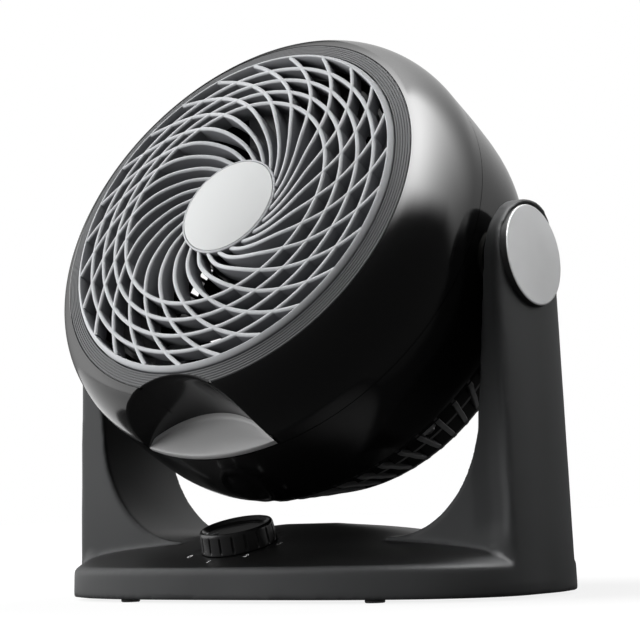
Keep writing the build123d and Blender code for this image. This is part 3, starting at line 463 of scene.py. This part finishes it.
# section of the plate in the scoop: (share of the way in from the side to the wall, height)
INSERT_SECTION = [(0.0, LIP), (0.0, 26.9), (0.012, 27.5), (0.035, 27.9), (0.07, SCOOP_FLOOR),
                  (0.5, SCOOP_FLOOR), (0.88, SCOOP_FLOOR), (0.94, 28.25), (0.975, 28.9), (0.993, 29.7),
                  (1.0, 30.6)]
INSERT_R = 113.78
INSERT_GAP = 0.1
INSERT_STEPS = 64
# past its middle it turns up, less and less toward its two ends
INSERT_MIDDLE, INSERT_TAPER = 0.5, (1.0, 0.85)


def scoop_half_angle(radius, grow=0.0):
    """Half angle that the scoop takes out of a circle about the head's axis, in radians."""
    cut = SCOOP_R + grow
    value = (radius * radius + SCOOP_CENTRE**2 - cut * cut) / (2 * radius * SCOOP_CENTRE)
    return math.acos(value) if value < 1 else 0.0


def scoop_edge(grow=0.0):
    """Half angle of the scoop's wall about its own centre, out to the side of the shell."""
    half = scoop_half_angle(SHELL_R, grow)
    return math.atan2(SHELL_R * math.sin(half), SCOOP_CENTRE - SHELL_R * math.cos(half))


def dense(points, per):
    """Points on a smooth curve through the points of a profile, so many to each stretch."""
    out = []
    for i in range(len(points) - 1):
        p1, p2 = Vector(points[i]), Vector(points[i + 1])
        p0 = Vector(points[i - 1]) if i else p1 * 2 - p2
        p3 = Vector(points[i + 2]) if i + 2 < len(points) else p2 * 2 - p1
        for k in range(per):
            t = k / per
            out.append(0.5 * ((2 * p1) + (p2 - p0) * t + (2 * p0 - 5 * p1 + 4 * p2 - p3) * t * t
                              + (3 * p1 - p0 - 3 * p2 + p3) * t**3))
    out.append(Vector(points[-1]))
    return [(p.x, p.y) for p in out]


def shell_rows(profile, scooped=False):
    """Rows of points round the head's axis; scooped ones start and end at the scoop's edge."""
    rows = []
    for i in range(SHELL_STEPS + 1):
        row = []
        for q, h in profile:
            gap = scoop_half_angle(q, ROLL) if scooped else 0.0
            turn = -math.pi / 2 + gap + (2 * math.pi - 2 * gap) * i / SHELL_STEPS
            row.append(round_point(q, turn, h))
        rows.append(row)
    return rows


def front_top(q, side):
    """Height of the front's outer surface at a radius, no lower than the scoop's edge goes."""
    if q <= BEZEL_OUTER:
        part = (max(q, BEZEL_INNER) - BEZEL_INNER) / (BEZEL_OUTER - BEZEL_INNER)
        return BEZEL_RISE + (BEZEL_FALL - BEZEL_RISE) * part
    best = EDGE_LOW
    for (q0, h0), (q1, h1) in zip(side, side[1:]):
        if min(q0, q1) <= q <= max(q0, q1) and h0 > EDGE_FROM:
            best = h0 + (h1 - h0) * (q - q0) / (q1 - q0 or 1)
    return max(best, EDGE_LOW)


def shoulder_points(steps=36):
    """Outer profile of the shell from its back edge over the shoulder to the bezel."""
    reach = SHELL_R - SHOULDER[0]
    points = [(SHELL_R, BACK_EDGE), (SHELL_R, LIP - LIP_GAP), (SHELL_R, LIP), (SHELL_R, SIDE_TOP)]
    for i in range(steps + 1):
        turn = SHOULDER_TOP * i / steps
        points.append((SHOULDER[0] + reach * math.cos(turn), SHOULDER[1] + SHOULDER_RISE * math.sin(turn)))
    return points


def build_bezel():
    """Sloping ring with fine concentric grooves."""
    slope = (BEZEL_FALL - BEZEL_RISE) / (BEZEL_OUTER - BEZEL_INNER)
    profile = [(BEZEL_INNER, SEAT), (BEZEL_INNER, BEZEL_RISE - BEZEL_CORNER[1]),
               (BEZEL_INNER + BEZEL_CORNER[0], BEZEL_RISE)]
    pitch = (BEZEL_OUTER - BEZEL_INNER) / BEZEL_GROOVES
    for k in range(BEZEL_GROOVES):
        middle = BEZEL_INNER + (k + GROOVE_PLACE) * pitch
        for shift, drop in GROOVE:
            q = min(middle + shift, BEZEL_OUTER)
            profile.append((q, BEZEL_RISE + slope * (q - BEZEL_INNER) - drop))
    profile.append((BEZEL_OUTER + BEZEL_GAP, SEAT))
    b = Builder()
    b.loops(shell_rows(profile, scooped=True), close_row=False)
    make_piece("bezel_dressed", b.verts, b.faces, "bezel_gray", "head", sharp=25, replaces=("bezel_ring",))


def scoop_wall_rows(side):
    """Wall of the scoop, from its floor up to a rolled edge with the outer surface."""
    edges = [(SCOOP_R + out * ROLL, scoop_edge(out * ROLL)) for out, _ in ROLL_POINTS]
    rows = []
    for i in range(WALL_STEPS + 1):
        share = -1 + 2 * i / WALL_STEPS
        roll = []
        for (cut, edge), (_, drop) in zip(edges, ROLL_POINTS):
            x, y = cut * math.sin(share * edge), -SCOOP_CENTRE + cut * math.cos(share * edge)
            roll.append((x, y, front_top(min(math.hypot(x, y), SHELL_R), side) - drop * ROLL))
        x, y, top = roll[0]
        foot = SCOOP_FLOOR - WALL_SUNK
        row = [head_point(x, y, foot + (top - foot) * j / WALL_RISE) for j in range(WALL_RISE)]
        rows.append(row + [head_point(*point) for point in roll])
    return rows


def build_front_shell():
    """Glossy ring from its back edge over the shoulder to the bezel, its flange and the scoop's wall."""
    b = Builder()
    side = shoulder_points()
    b.loops(shell_rows([(q, BACK_EDGE) for q in BACK_R] + side[:2]), close_row=False)
    b.loops(shell_rows(side[2:] + SEAM, scooped=True), close_row=False)
    b.loops(shell_rows(FLANGE, scooped=True), close_row=False)
    b.loops(scoop_wall_rows(side), close_row=False)
    make_piece("front_shell_dressed", b.verts, b.faces, "shell_gloss_black", "head", sharp=32,
               replaces=("front_housing",))


def build_scoop_insert():
    """Lens-shaped plate on the floor of the scoop, turned down at the front and up at the back."""
    b = Builder()
    half, edge = scoop_half_angle(SHELL_R), scoop_edge()
    inner = SCOOP_R - INSERT_GAP
    rows = []
    for i in range(INSERT_STEPS + 1):
        share = -1 + 2 * i / INSERT_STEPS
        turn = -math.pi / 2 + share * half
        ox, oy = INSERT_R * math.cos(turn), INSERT_R * math.sin(turn)
        ix, iy = inner * math.sin(share * edge), -SCOOP_CENTRE + inner * math.cos(share * edge)
        lift = smooth(*INSERT_TAPER, abs(share))
        row = []
        for part, h in INSERT_SECTION:
            height = SCOOP_FLOOR + (h - SCOOP_FLOOR) * (lift if part > INSERT_MIDDLE else 1.0)
            row.append(head_point(ox + (ix - ox) * part, oy + (iy - oy) * part, height))
        rows.append(row)
    b.loops(rows, close_row=False)
    make_piece("scoop_insert_dressed", b.verts, b.faces, "insert_gray", "head", sharp=60,
               replaces=("scoop_insert",))


# ------------------------------------------------------------ knob and its dial
# (radius, height over the panel) in millimetres: side, rolled top edge, shallow dish
KNOB_PROFILE = [(16.0, 0.6), (18.3, 0.6), (18.55, 0.8), (18.6, 1.2), (18.55, 1.9), (18.5, 2.6), (18.4, 4.0),
                (18.3, 5.5), (18.2, 7.0), (18.1, 8.2), (18.05, 8.9), (18.0, 9.4), (17.9, 9.9), (17.7, 10.4),
                (17.35, 10.8), (16.9, 10.97), (16.4, 10.9), (15.9, 10.6), (15.3, 10.0), (14.6, 9.4),
                (13.5, 8.95), (12.0, 8.75), (8.0, 8.62), (4.0, 8.6), (CENTRE_R, 8.6)]
KNOB_SIDE = 17.0
KNOB_GROOVES, GROOVE_STEPS, GROOVE_DEPTH = 18, 26, 0.75
# a groove's flanks as shares of half its pitch, and the heights of its foot and head
GROOVE_FLANK, GROOVE_FOOT, GROOVE_HEAD = (0.80, 0.94), (1.4, 2.6), (8.4, 9.5)
# numerals in degrees round the knob, from the first, and their print
DIAL_R, DIAL_FIRST, DIAL_STEP = 24.6, -135, 45
DIAL_ABOVE = 8
NUMERAL_SIZE, PRINT_GROWTH, PRINT_HEIGHT = 5.0 * MM, 0.04 * MM, 0.06 * MM
POINTER = (9.0, 13.0)
POINTER_SECTION = ((-0.4, 8.6), (-0.35, 9.0), (0.35, 9.0), (0.4, 8.6))


def knob_point(x, y, z):
    """Point of the knob in millimetres: x to the right, y up the sloping panel, z out of it."""
    return KNOB + (KX * x + KY * y + KZ * z) * MM


def groove_depth(share, q, z):
    """Depth of the grooves in the knob's side; share goes from 0 to 1 round the knob."""
    if q <= KNOB_SIDE:
        return 0.0
    across = smooth(*GROOVE_FLANK, abs(share * KNOB_GROOVES % 1.0 - 0.5) * 2)
    return GROOVE_DEPTH * across * smooth(*GROOVE_FOOT, z) * (1 - smooth(*GROOVE_HEAD, z))


def build_knob():
    """Grooved rim with a rolled top edge and a shallow glossy dish."""
    steps = KNOB_GROOVES * GROOVE_STEPS
    b = Builder()
    rows = []
    for i in range(steps):
        turn = 2 * math.pi * i / steps
        row = []
        for q, z in KNOB_PROFILE:
            cut = q - groove_depth(i / steps, q, z)
            row.append(knob_point(cut * math.cos(turn), cut * math.sin(turn), z))
        rows.append(row)
    b.loops(rows, close_row=False, close_all=True)
    make_piece("knob_dressed", b.verts, b.faces, "knob_black", "knob", sharp=50, replaces=("control_knob",))


def build_pointer():
    """Raised line in the knob's dish, toward the first numeral."""
    b = Builder()
    turn = math.radians(DIAL_FIRST)
    dx, dy = math.cos(turn), math.sin(turn)
    b.loops([[knob_point(q * dx - s * dy, q * dy + s * dx, z) for s, z in POINTER_SECTION] for q in POINTER],
            caps=True)
    make_piece("knob_pointer", b.verts, b.faces, "bezel_gray", "knob")


def build_dial():
    """Numerals of the switch positions, printed on the panel round the knob."""
    base = nodes["base_housing"].data
    panel = BVHTree.FromPolygons([v.co.copy() for v in base.vertices],
                                 [tuple(p.vertices) for p in base.polygons])
    for k, label in enumerate("0123"):
        turn = math.radians(DIAL_FIRST + DIAL_STEP * k)
        spot = knob_point(DIAL_R * math.cos(turn), DIAL_R * math.sin(turn), DIAL_ABOVE)
        hit, normal, _, _ = panel.ray_cast(spot, -KZ)
        text = bpy.data.curves.new("dial_text", "FONT")
        text.body = label
        text.size = NUMERAL_SIZE
        text.align_x = "CENTER"
        text.align_y = "CENTER"
        text.offset = PRINT_GROWTH
        holder = bpy.data.objects.new("dial_text", text)
        bpy.context.scene.collection.objects.link(holder)
        bpy.context.view_layer.update()
        mesh = bpy.data.meshes.new_from_object(holder.evaluated_get(bpy.context.evaluated_depsgraph_get()))
        bpy.data.objects.remove(holder)
        up = (KY - normal * KY.dot(normal)).normalized()
        turned = Matrix((up.cross(normal), up, normal)).transposed()
        for v in mesh.vertices:
            v.co = hit + normal * PRINT_HEIGHT + turned @ v.co
        mesh.materials.clear()
        mesh.materials.append(MATS["print_white"])
        digit = bpy.data.objects.new(f"dial_numeral_{label}", mesh)
        bpy.context.scene.collection.objects.link(digit)
        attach(digit, "stand")


# ------------------------------------------------------------ rear ribs
REAR_CURVE = [(109.9, -23.4), (106.0, -29.2), (98.2, -41.0), (85.2, -63.6), (80.0, -70.5), (72.0, -74.6),
              (57.0, -77.0), (38.0, -78.0)]
REAR_RIBS = 60
REAR_PHASE = -40.2
REAR_POINTS = 3
# every second rib ends this many points sooner
REAR_SHORT = 4
# the ribs rise over their first points and sink level with the rear grille between these heights
REAR_START, REAR_FADE = (-1, 3), (-62, -50)
REAR_RAISED, REAR_LEVEL, REAR_SUNK, REAR_HALF = 1.2, -0.1, 1.0, 1.3
REAR_CORNER = (0.3, 0.35)


def rear_section(lift):
    """Section of a rear rib with bevelled edges: (across, height over the rear grille) points."""
    right = [(REAR_HALF - REAR_CORNER[0], lift), (REAR_HALF, lift - REAR_CORNER[1]), (REAR_HALF, -REAR_SUNK)]
    return [(-s, level) for s, level in reversed(right)] + right


def build_rear_ribs():
    """Radial ribs that stand proud of the rear grille's side, and lie level with its back."""
    b = Builder()
    path = dense(REAR_CURVE, REAR_POINTS)
    for k in range(REAR_RIBS):
        turn = math.radians(REAR_PHASE + 360 / REAR_RIBS * k)
        out = (math.cos(turn), math.sin(turn))
        last = len(path) if k % 2 else len(path) - REAR_SHORT
        rows = []
        for i in range(last):
            (q0, h0), (q1, h1) = path[max(i - 1, 0)], path[min(i + 1, len(path) - 1)]
            length = math.hypot(q1 - q0, h1 - h0)
            nq, nh = -(h1 - h0) / length, (q1 - q0) / length
            lift = REAR_RAISED * smooth(*REAR_START, i) * smooth(*REAR_FADE, path[i][1]) + REAR_LEVEL
            row = []
            for s, level in rear_section(lift):
                q, h = path[i][0] + nq * level, path[i][1] + nh * level
                row.append(head_point(q * out[0] - s * out[1], q * out[1] + s * out[0], h))
            rows.append(row)
        b.loops(rows, caps=True)
    make_piece("rear_ribs_dressed", b.verts, b.faces, "rear_ribs", "head")


build_rear_ribs()


# ------------------------------------------------------------ stand with moulded corners
def fused_mesh(names, voxel):
    """One closed skin round several CAD nodes."""
    verts, faces = [], []
    for name in names:
        node = nodes[name]
        start = len(verts)
        verts += [node.matrix_world @ v.co for v in node.data.vertices]
        faces += [[start + i for i in poly.vertices] for poly in node.data.polygons]
    mesh = bpy.data.meshes.new("fused")
    mesh.from_pydata([tuple(v) for v in verts], [], faces)
    holder = bpy.data.objects.new("fused", mesh)
    bpy.context.scene.collection.objects.link(holder)
    remesh = holder.modifiers.new("skin", "REMESH")
    remesh.mode = "VOXEL"
    remesh.voxel_size = voxel
    bpy.context.view_layer.update()
    skin = bpy.data.meshes.new_from_object(holder.evaluated_get(bpy.context.evaluated_depsgraph_get()))
    bpy.data.objects.remove(holder)
    return skin


STAND_NODES = ("base_housing", "right_arm", "left_arm")
VOXEL = 0.95 * MM
# how far a point lies off its neighbours in a corner or on an edge
CREASE = 0.12 * MM
# the stand's front, seen from the side, and where its outer edges begin
FRONT_Y, OUTER_X, OUTER_Z = -8 * MM, 112 * MM, 18 * MM
# heights between which corners take a fillet, and over which edges keep clear of it
CORNER_Z, CREST_Z = (12 * MM, 60 * MM), 27 * MM
# how far the front of the right arm is sunk beside a raised lip, and where that begins and ends
ARM_LIP = 1.3 * MM
ARM_X, LIP_FOOT, LIP_REACH = 90 * MM, 26 * MM, 20 * MM
# slices in which its outer edge is found, then the lip, the ramp beside it and the fade inward
LIP_LEVEL = 2 * MM
LIP_WIDTH, LIP_RAMP, LIP_FADE, LIP_RISE = 1.0, 5.0, 8.0, 8 * MM
FACES_FORWARD = -0.6
# rounds of smoothing for the whole skin, its fillets and its outer edges
SKIN_ROUNDS, FILLET_ROUNDS, EDGE_ROUNDS = 6, 90, 8


class Skin:
    """Points and edges of a mesh as arrays, with weighted smoothing."""

    def __init__(self, mesh):
        self.n = len(mesh.vertices)
        flat = np.empty(self.n * 3)
        mesh.vertices.foreach_get("co", flat)
        self.points = flat.reshape(-1, 3)
        pairs = np.empty(len(mesh.edges) * 2, dtype=np.int64)
        mesh.edges.foreach_get("vertices", pairs)
        self.edges = pairs.reshape(-1, 2)
        self.count = np.maximum(np.bincount(pairs, minlength=self.n), 1)
        normals = np.empty(self.n * 3)
        mesh.vertices.foreach_get("normal", normals)
        self.normals = normals.reshape(-1, 3)

    def mean(self, values):
        """Mean of a value over each point's neighbours."""
        a, b = self.edges[:, 0], self.edges[:, 1]
        total = np.bincount(a, values[b], self.n) + np.bincount(b, values[a], self.n)
        return total / self.count

    def lift(self):
        """How far each point's neighbours stand above it: over 0 in a corner, under 0 on an edge."""
        apart = np.stack([self.mean(self.points[:, k]) for k in range(3)], 1) - self.points
        return (apart * self.normals).sum(1)

    def lip(self, x, y, z):
        """1 on the sunk front of the right arm, falling to 0 at the lip, inward and at the foot."""
        forward = (self.normals[:, 1] < FACES_FORWARD) & (x > ARM_X) & (z > LIP_FOOT) & (y < 0)
        # the arm's outer edge, slice by slice
        level = np.round(z / LIP_LEVEL).astype(int)
        rim = np.full(level.max() + 2, -1.0)
        np.maximum.at(rim, level[forward], x[forward])
        inset = (rim[level] - x) / MM
        ramp = np.clip((inset - LIP_WIDTH) / LIP_RAMP, 0, 1)
        away = np.clip((LIP_REACH / MM - inset) / LIP_FADE, 0, 1)
        rise = np.clip((z - LIP_FOOT) / LIP_RISE, 0, 1)
        return forward * (ramp * ramp * (3 - 2 * ramp)) * away * rise

    def spread(self, chosen, rings, soft=6):
        """1 on the chosen points and so many rings of neighbours round them, fading out softly."""
        weight = chosen.astype(float)
        a, b = self.edges[:, 0], self.edges[:, 1]
        for _ in range(rings):
            grown = weight.copy()
            np.maximum.at(grown, a, weight[b])
            np.maximum.at(grown, b, weight[a])
            weight = grown
        for _ in range(soft):
            weight = 0.5 * weight + 0.5 * self.mean(weight)
        return weight

    def relax(self, weight, rounds):
        """Move each point up to half way to the mean of its neighbours, by its weight."""
        for _ in range(rounds):
            for k in range(3):
                column = self.points[:, k]
                self.points[:, k] = column + 0.5 * weight * (self.mean(column) - column)


def build_stand():
    """Base and arms as one moulding: wide fillets in front of the arms, rounded arm edges."""
    mesh = fused_mesh(STAND_NODES, VOXEL)
    skin = Skin(mesh)
    x, y, z = (skin.points[:, k].copy() for k in range(3))
    lift = skin.lift()
    front = y < FRONT_Y
    corner = (lift > CREASE) & front & (z > CORNER_Z[0]) & (z < CORNER_Z[1])
    crest = lift < -CREASE
    outer = crest & (x > OUTER_X) & front & (z > OUTER_Z)
    inward = skin.lip(x, y, z)
    fillet = skin.spread(corner, 5) * (1 - skin.spread(crest & (z > CREST_Z), 2, 1))
    edge = skin.spread(outer, 2, 3)
    skin.points[:, 1] += ARM_LIP * inward
    skin.relax(np.ones(skin.n), SKIN_ROUNDS)
    skin.relax(fillet, FILLET_ROUNDS)
    skin.relax(edge, EDGE_ROUNDS)
    mesh.vertices.foreach_set("co", skin.points.ravel())
    mesh.update()
    for poly in mesh.polygons:
        poly.use_smooth = True
    obj = bpy.data.objects.new("stand_dressed", mesh)
    bpy.context.scene.collection.objects.link(obj)
    mesh.materials.clear()
    mesh.materials.append(MATS["stand_charcoal"])
    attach(obj, "stand")
    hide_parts(*STAND_NODES)


build_stand()
build_bezel()
build_front_shell()
build_scoop_insert()
build_knob()
build_pointer()
build_dial()


# ------------------------------------------------------------ camera
# place of the camera about the pivot: angles in radians, lengths in millimetres
AZIMUTH, ELEVATION, CAMERA_ROLL = 0.6396612, -0.0943871, -0.0309173
DISTANCE, SHIFT_RIGHT, SHIFT_UP = 986.15376, 7.53174, -19.15992
# focal length in pixels of a picture 640 pixels wide, and the width of the sensor in millimetres
FOCAL_PIXELS, PICTURE_WIDTH, SENSOR = 1994.9168, 640.0, 36.0


def build_camera():
    """Camera that frames the object as it is pictured."""
    sa, ca = math.sin(AZIMUTH), math.cos(AZIMUTH)
    se, ce = math.sin(ELEVATION), math.cos(ELEVATION)
    backward = Vector((sa * ce, -ca * ce, se))
    level = Vector((ca, sa, 0))
    upright = backward.cross(level)
    cr, sr = math.cos(CAMERA_ROLL), math.sin(CAMERA_ROLL)
    right = cr * level + sr * upright
    up = -sr * level + cr * upright
    data = bpy.data.cameras.new("camera")
    data.sensor_width = SENSOR
    data.lens = FOCAL_PIXELS * SENSOR / PICTURE_WIDTH
    camera = bpy.data.objects.new("camera", data)
    place = Matrix((right, up, backward)).transposed().to_4x4()
    place.translation = PIVOT + (backward * DISTANCE + right * SHIFT_RIGHT + up * SHIFT_UP) * MM
    camera.matrix_world = place
    bpy.context.scene.collection.objects.link(camera)
    bpy.context.scene.camera = camera


build_camera()


# ------------------------------------------------------------ stage
def away_from(azimuth, elevation):
    """Direction from the pivot: degrees round from the front toward the right, and upward."""
    az, el = math.radians(azimuth), math.radians(elevation)
    return Vector((math.sin(az) * math.cos(el), -math.cos(az) * math.cos(el), math.sin(el)))


def only_glossy(obj):
    """Leave an object to be seen in reflections alone."""
    obj.visible_camera = False
    obj.visible_diffuse = False
    obj.visible_transmission = False
    obj.visible_shadow = False


def seen_directly(tree):
    """1 for camera, glossy and transmission rays, 0 for the light that falls on diffuse surfaces."""
    path = tree.nodes.new("ShaderNodeLightPath")
    first = tree.nodes.new("ShaderNodeMath")
    first.operation = "MAXIMUM"
    tree.links.new(path.outputs["Is Camera Ray"], first.inputs[0])
    tree.links.new(path.outputs["Is Glossy Ray"], first.inputs[1])
    second = tree.nodes.new("ShaderNodeMath")
    second.operation = "MAXIMUM"
    tree.links.new(first.outputs[0], second.inputs[0])
    tree.links.new(path.outputs["Is Transmission Ray"], second.inputs[1])
    return second.outputs[0]


def build_world(level):
    """White to look at, and a weak even fill for what it lights."""
    world = bpy.data.worlds.new("studio")
    bpy.context.scene.world = world
    world.use_nodes = True
    tree = world.node_tree
    background = tree.nodes["Background"]
    background.inputs["Color"].default_value = (1, 1, 1, 1)
    strength = tree.nodes.new("ShaderNodeMapRange")
    strength.inputs["To Min"].default_value = level
    strength.inputs["To Max"].default_value = 1.0
    tree.links.new(seen_directly(tree), strength.inputs["Value"])
    tree.links.new(strength.outputs["Result"], background.inputs["Strength"])


def build_floor(shade=0.20, lit=0.76, near=0.15, far=0.42, size=8.0):
    """White floor: mostly its own white, and near the object a share that takes the object's shadow."""
    corners = [(-size, -size, 0), (size, -size, 0), (size, size, 0), (-size, size, 0)]
    mesh = bpy.data.meshes.new("floor")
    mesh.from_pydata(corners, [], [(0, 1, 2, 3)])
    obj = bpy.data.objects.new("floor", mesh)
    bpy.context.scene.collection.objects.link(obj)
    m = Nodes("floor_white")
    m.bsdf.inputs["Base Color"].default_value = (shade, shade, shade, 1)
    m.bsdf.inputs["Roughness"].default_value = 1.0
    m.bsdf.inputs["Specular IOR Level"].default_value = 0.0
    glow = m.add("ShaderNodeEmission")
    coord = m.add("ShaderNodeTexCoord")
    reach = m.add("ShaderNodeVectorMath", operation="LENGTH")
    m.link(coord.outputs["Object"], reach.inputs[0])
    fade = m.add("ShaderNodeMapRange")
    fade.inputs["From Min"].default_value = near
    fade.inputs["From Max"].default_value = far
    fade.inputs["To Min"].default_value = 1.0 - shade * lit
    fade.inputs["To Max"].default_value = 1.0
    m.link(reach.outputs["Value"], fade.inputs["Value"])
    direct = m.add("ShaderNodeMath", operation="MULTIPLY")
    m.link(fade.outputs["Result"], direct.inputs[0])
    m.link(seen_directly(m.tree), direct.inputs[1])
    m.link(direct.outputs[0], glow.inputs["Strength"])
    both = m.add("ShaderNodeAddShader")
    m.link(m.bsdf.outputs["BSDF"], both.inputs[0])
    m.link(glow.outputs["Emission"], both.inputs[1])
    m.link(both.outputs["Shader"], m.tree.nodes["Material Output"].inputs["Surface"])
    obj.data.materials.append(m.mat)


def area(name, azimuth, elevation, distance, size, level):
    """Soft lamp aimed at the pivot, not seen in gloss; level is what it adds to a white surface."""
    data = bpy.data.lights.new(name, "AREA")
    data.energy = level * math.pi**2 * distance**2
    data.shape = "DISK"
    data.size = size
    lamp = bpy.data.objects.new(name, data)
    bpy.context.scene.collection.objects.link(lamp)
    away = away_from(azimuth, elevation)
    lamp.location = PIVOT + away * distance
    lamp.rotation_euler = (-away).to_track_quat("-Z", "Y").to_euler()
    lamp.visible_glossy = False


# lamps: (name, azimuth, elevation, distance and size in metres, level)
LAMPS = (("key", -62, 42, 2.0, 1.2, 0.62), ("low_key", -66, 8, 2.0, 1.0, 0.40),
         ("front", -40, 6, 2.0, 1.0, 0.60), ("rim", 112, 30, 1.6, 0.8, 0.17))

# lower edge of the softbox overhead: (azimuth, elevation) in degrees
BOX_EDGE = [(-144, 40), (-60, 60), (-12, 58), (8, 56), (43, 50), (59, 45), (90, 31), (112, 19), (125, 4),
            (140, -15), (216, -15)]
BOX_AZIMUTH, BOX_ELEVATION = 50, 68
BOX_LEVEL, BOX_SPREAD, BOX_POWER = 17.5, 42.0, 1.8
# brightness of the dark, of the pale wall on the left and of the one behind
DARK_LEVEL, LEFT_LEVEL, BACK_LEVEL = 0.07, 2.3, 0.45
WALL_FIRST, WALL_LAST, GROUND_FIRST = -144, 216, -40
WALL_FOOT, WALL_HEAD = -3, 89.9


def booth_glow(azimuth, elevation):
    """Brightness of the dark booth, its large softbox overhead and the pale walls left and behind."""
    apart = math.degrees(away_from(azimuth, elevation).angle(away_from(BOX_AZIMUTH, BOX_ELEVATION)))
    box = BOX_LEVEL * math.exp(-(apart / BOX_SPREAD) ** BOX_POWER)
    edge = between(BOX_EDGE, azimuth)
    box *= smooth(edge - 9, edge + 7, elevation)
    box *= 1 - 0.6 * smooth(130, 172, azimuth)
    box *= 1 - smooth(-15, -65, azimuth) * (0.65 - 0.25 * smooth(55, 85, elevation))
    left = LEFT_LEVEL * min(1.0, max(0.0, (azimuth + 130) / 60)) ** 1.6 * (1 - smooth(-48, -30, azimuth))
    back = BACK_LEVEL * smooth(150, 200, azimuth) * smooth(-5, 12, elevation)
    return DARK_LEVEL + box + left + back


def build_booth(radius=1.6, step=4, shade=0.30):
    """Room round the object that is seen in gloss alone: walls, softbox, dark ground and a disc of painted
    shade round the object's foot.
    """
    turns = range(WALL_FIRST, WALL_LAST + 1, step)
    rises = [WALL_FOOT] + list(range(0, 88, 3)) + [WALL_HEAD]
    b = Builder()
    b.loops([[PIVOT + away_from(az, el) * radius for el in rises] for az in turns], close_row=False)
    glow = [booth_glow(az, el) for az in turns for el in rises]
    ground = [az for az in turns if az >= GROUND_FIRST]
    middle = Vector((0, 0, MM))
    wide = [[middle + away_from(az, 0) * MM, PIVOT + away_from(az, WALL_FOOT) * radius] for az in ground]
    # close is a dark disc of painted shade: the floor's shadow round the object, as seen in gloss
    close = [[middle + away_from(az, 0) * MM, middle + away_from(az, 0) * shade] for az in turns]
    b.loops(wide, close_row=False)
    b.loops(close, close_row=False)
    glow += [DARK_LEVEL, DARK_LEVEL] * (len(ground) + len(turns))
    mesh = bpy.data.meshes.new("booth")
    mesh.from_pydata([tuple(v) for v in b.verts], [], b.faces)
    layer = mesh.attributes.new("glow", "FLOAT", "POINT")
    for item, value in zip(layer.data, glow):
        item.value = value
    obj = bpy.data.objects.new("booth", mesh)
    bpy.context.scene.collection.objects.link(obj)
    m = Nodes("booth")
    light = m.add("ShaderNodeEmission")
    value = m.add("ShaderNodeAttribute", attribute_name="glow")
    m.link(value.outputs["Fac"], light.inputs["Strength"])
    m.link(light.outputs["Emission"], m.tree.nodes["Material Output"].inputs["Surface"])
    mesh.materials.append(m.mat)
    only_glossy(obj)


build_world(0.11)
build_floor()
build_booth()
for lamp in LAMPS:
    area(*lamp)

bpy.context.scene.view_settings.view_transform = "Standard"
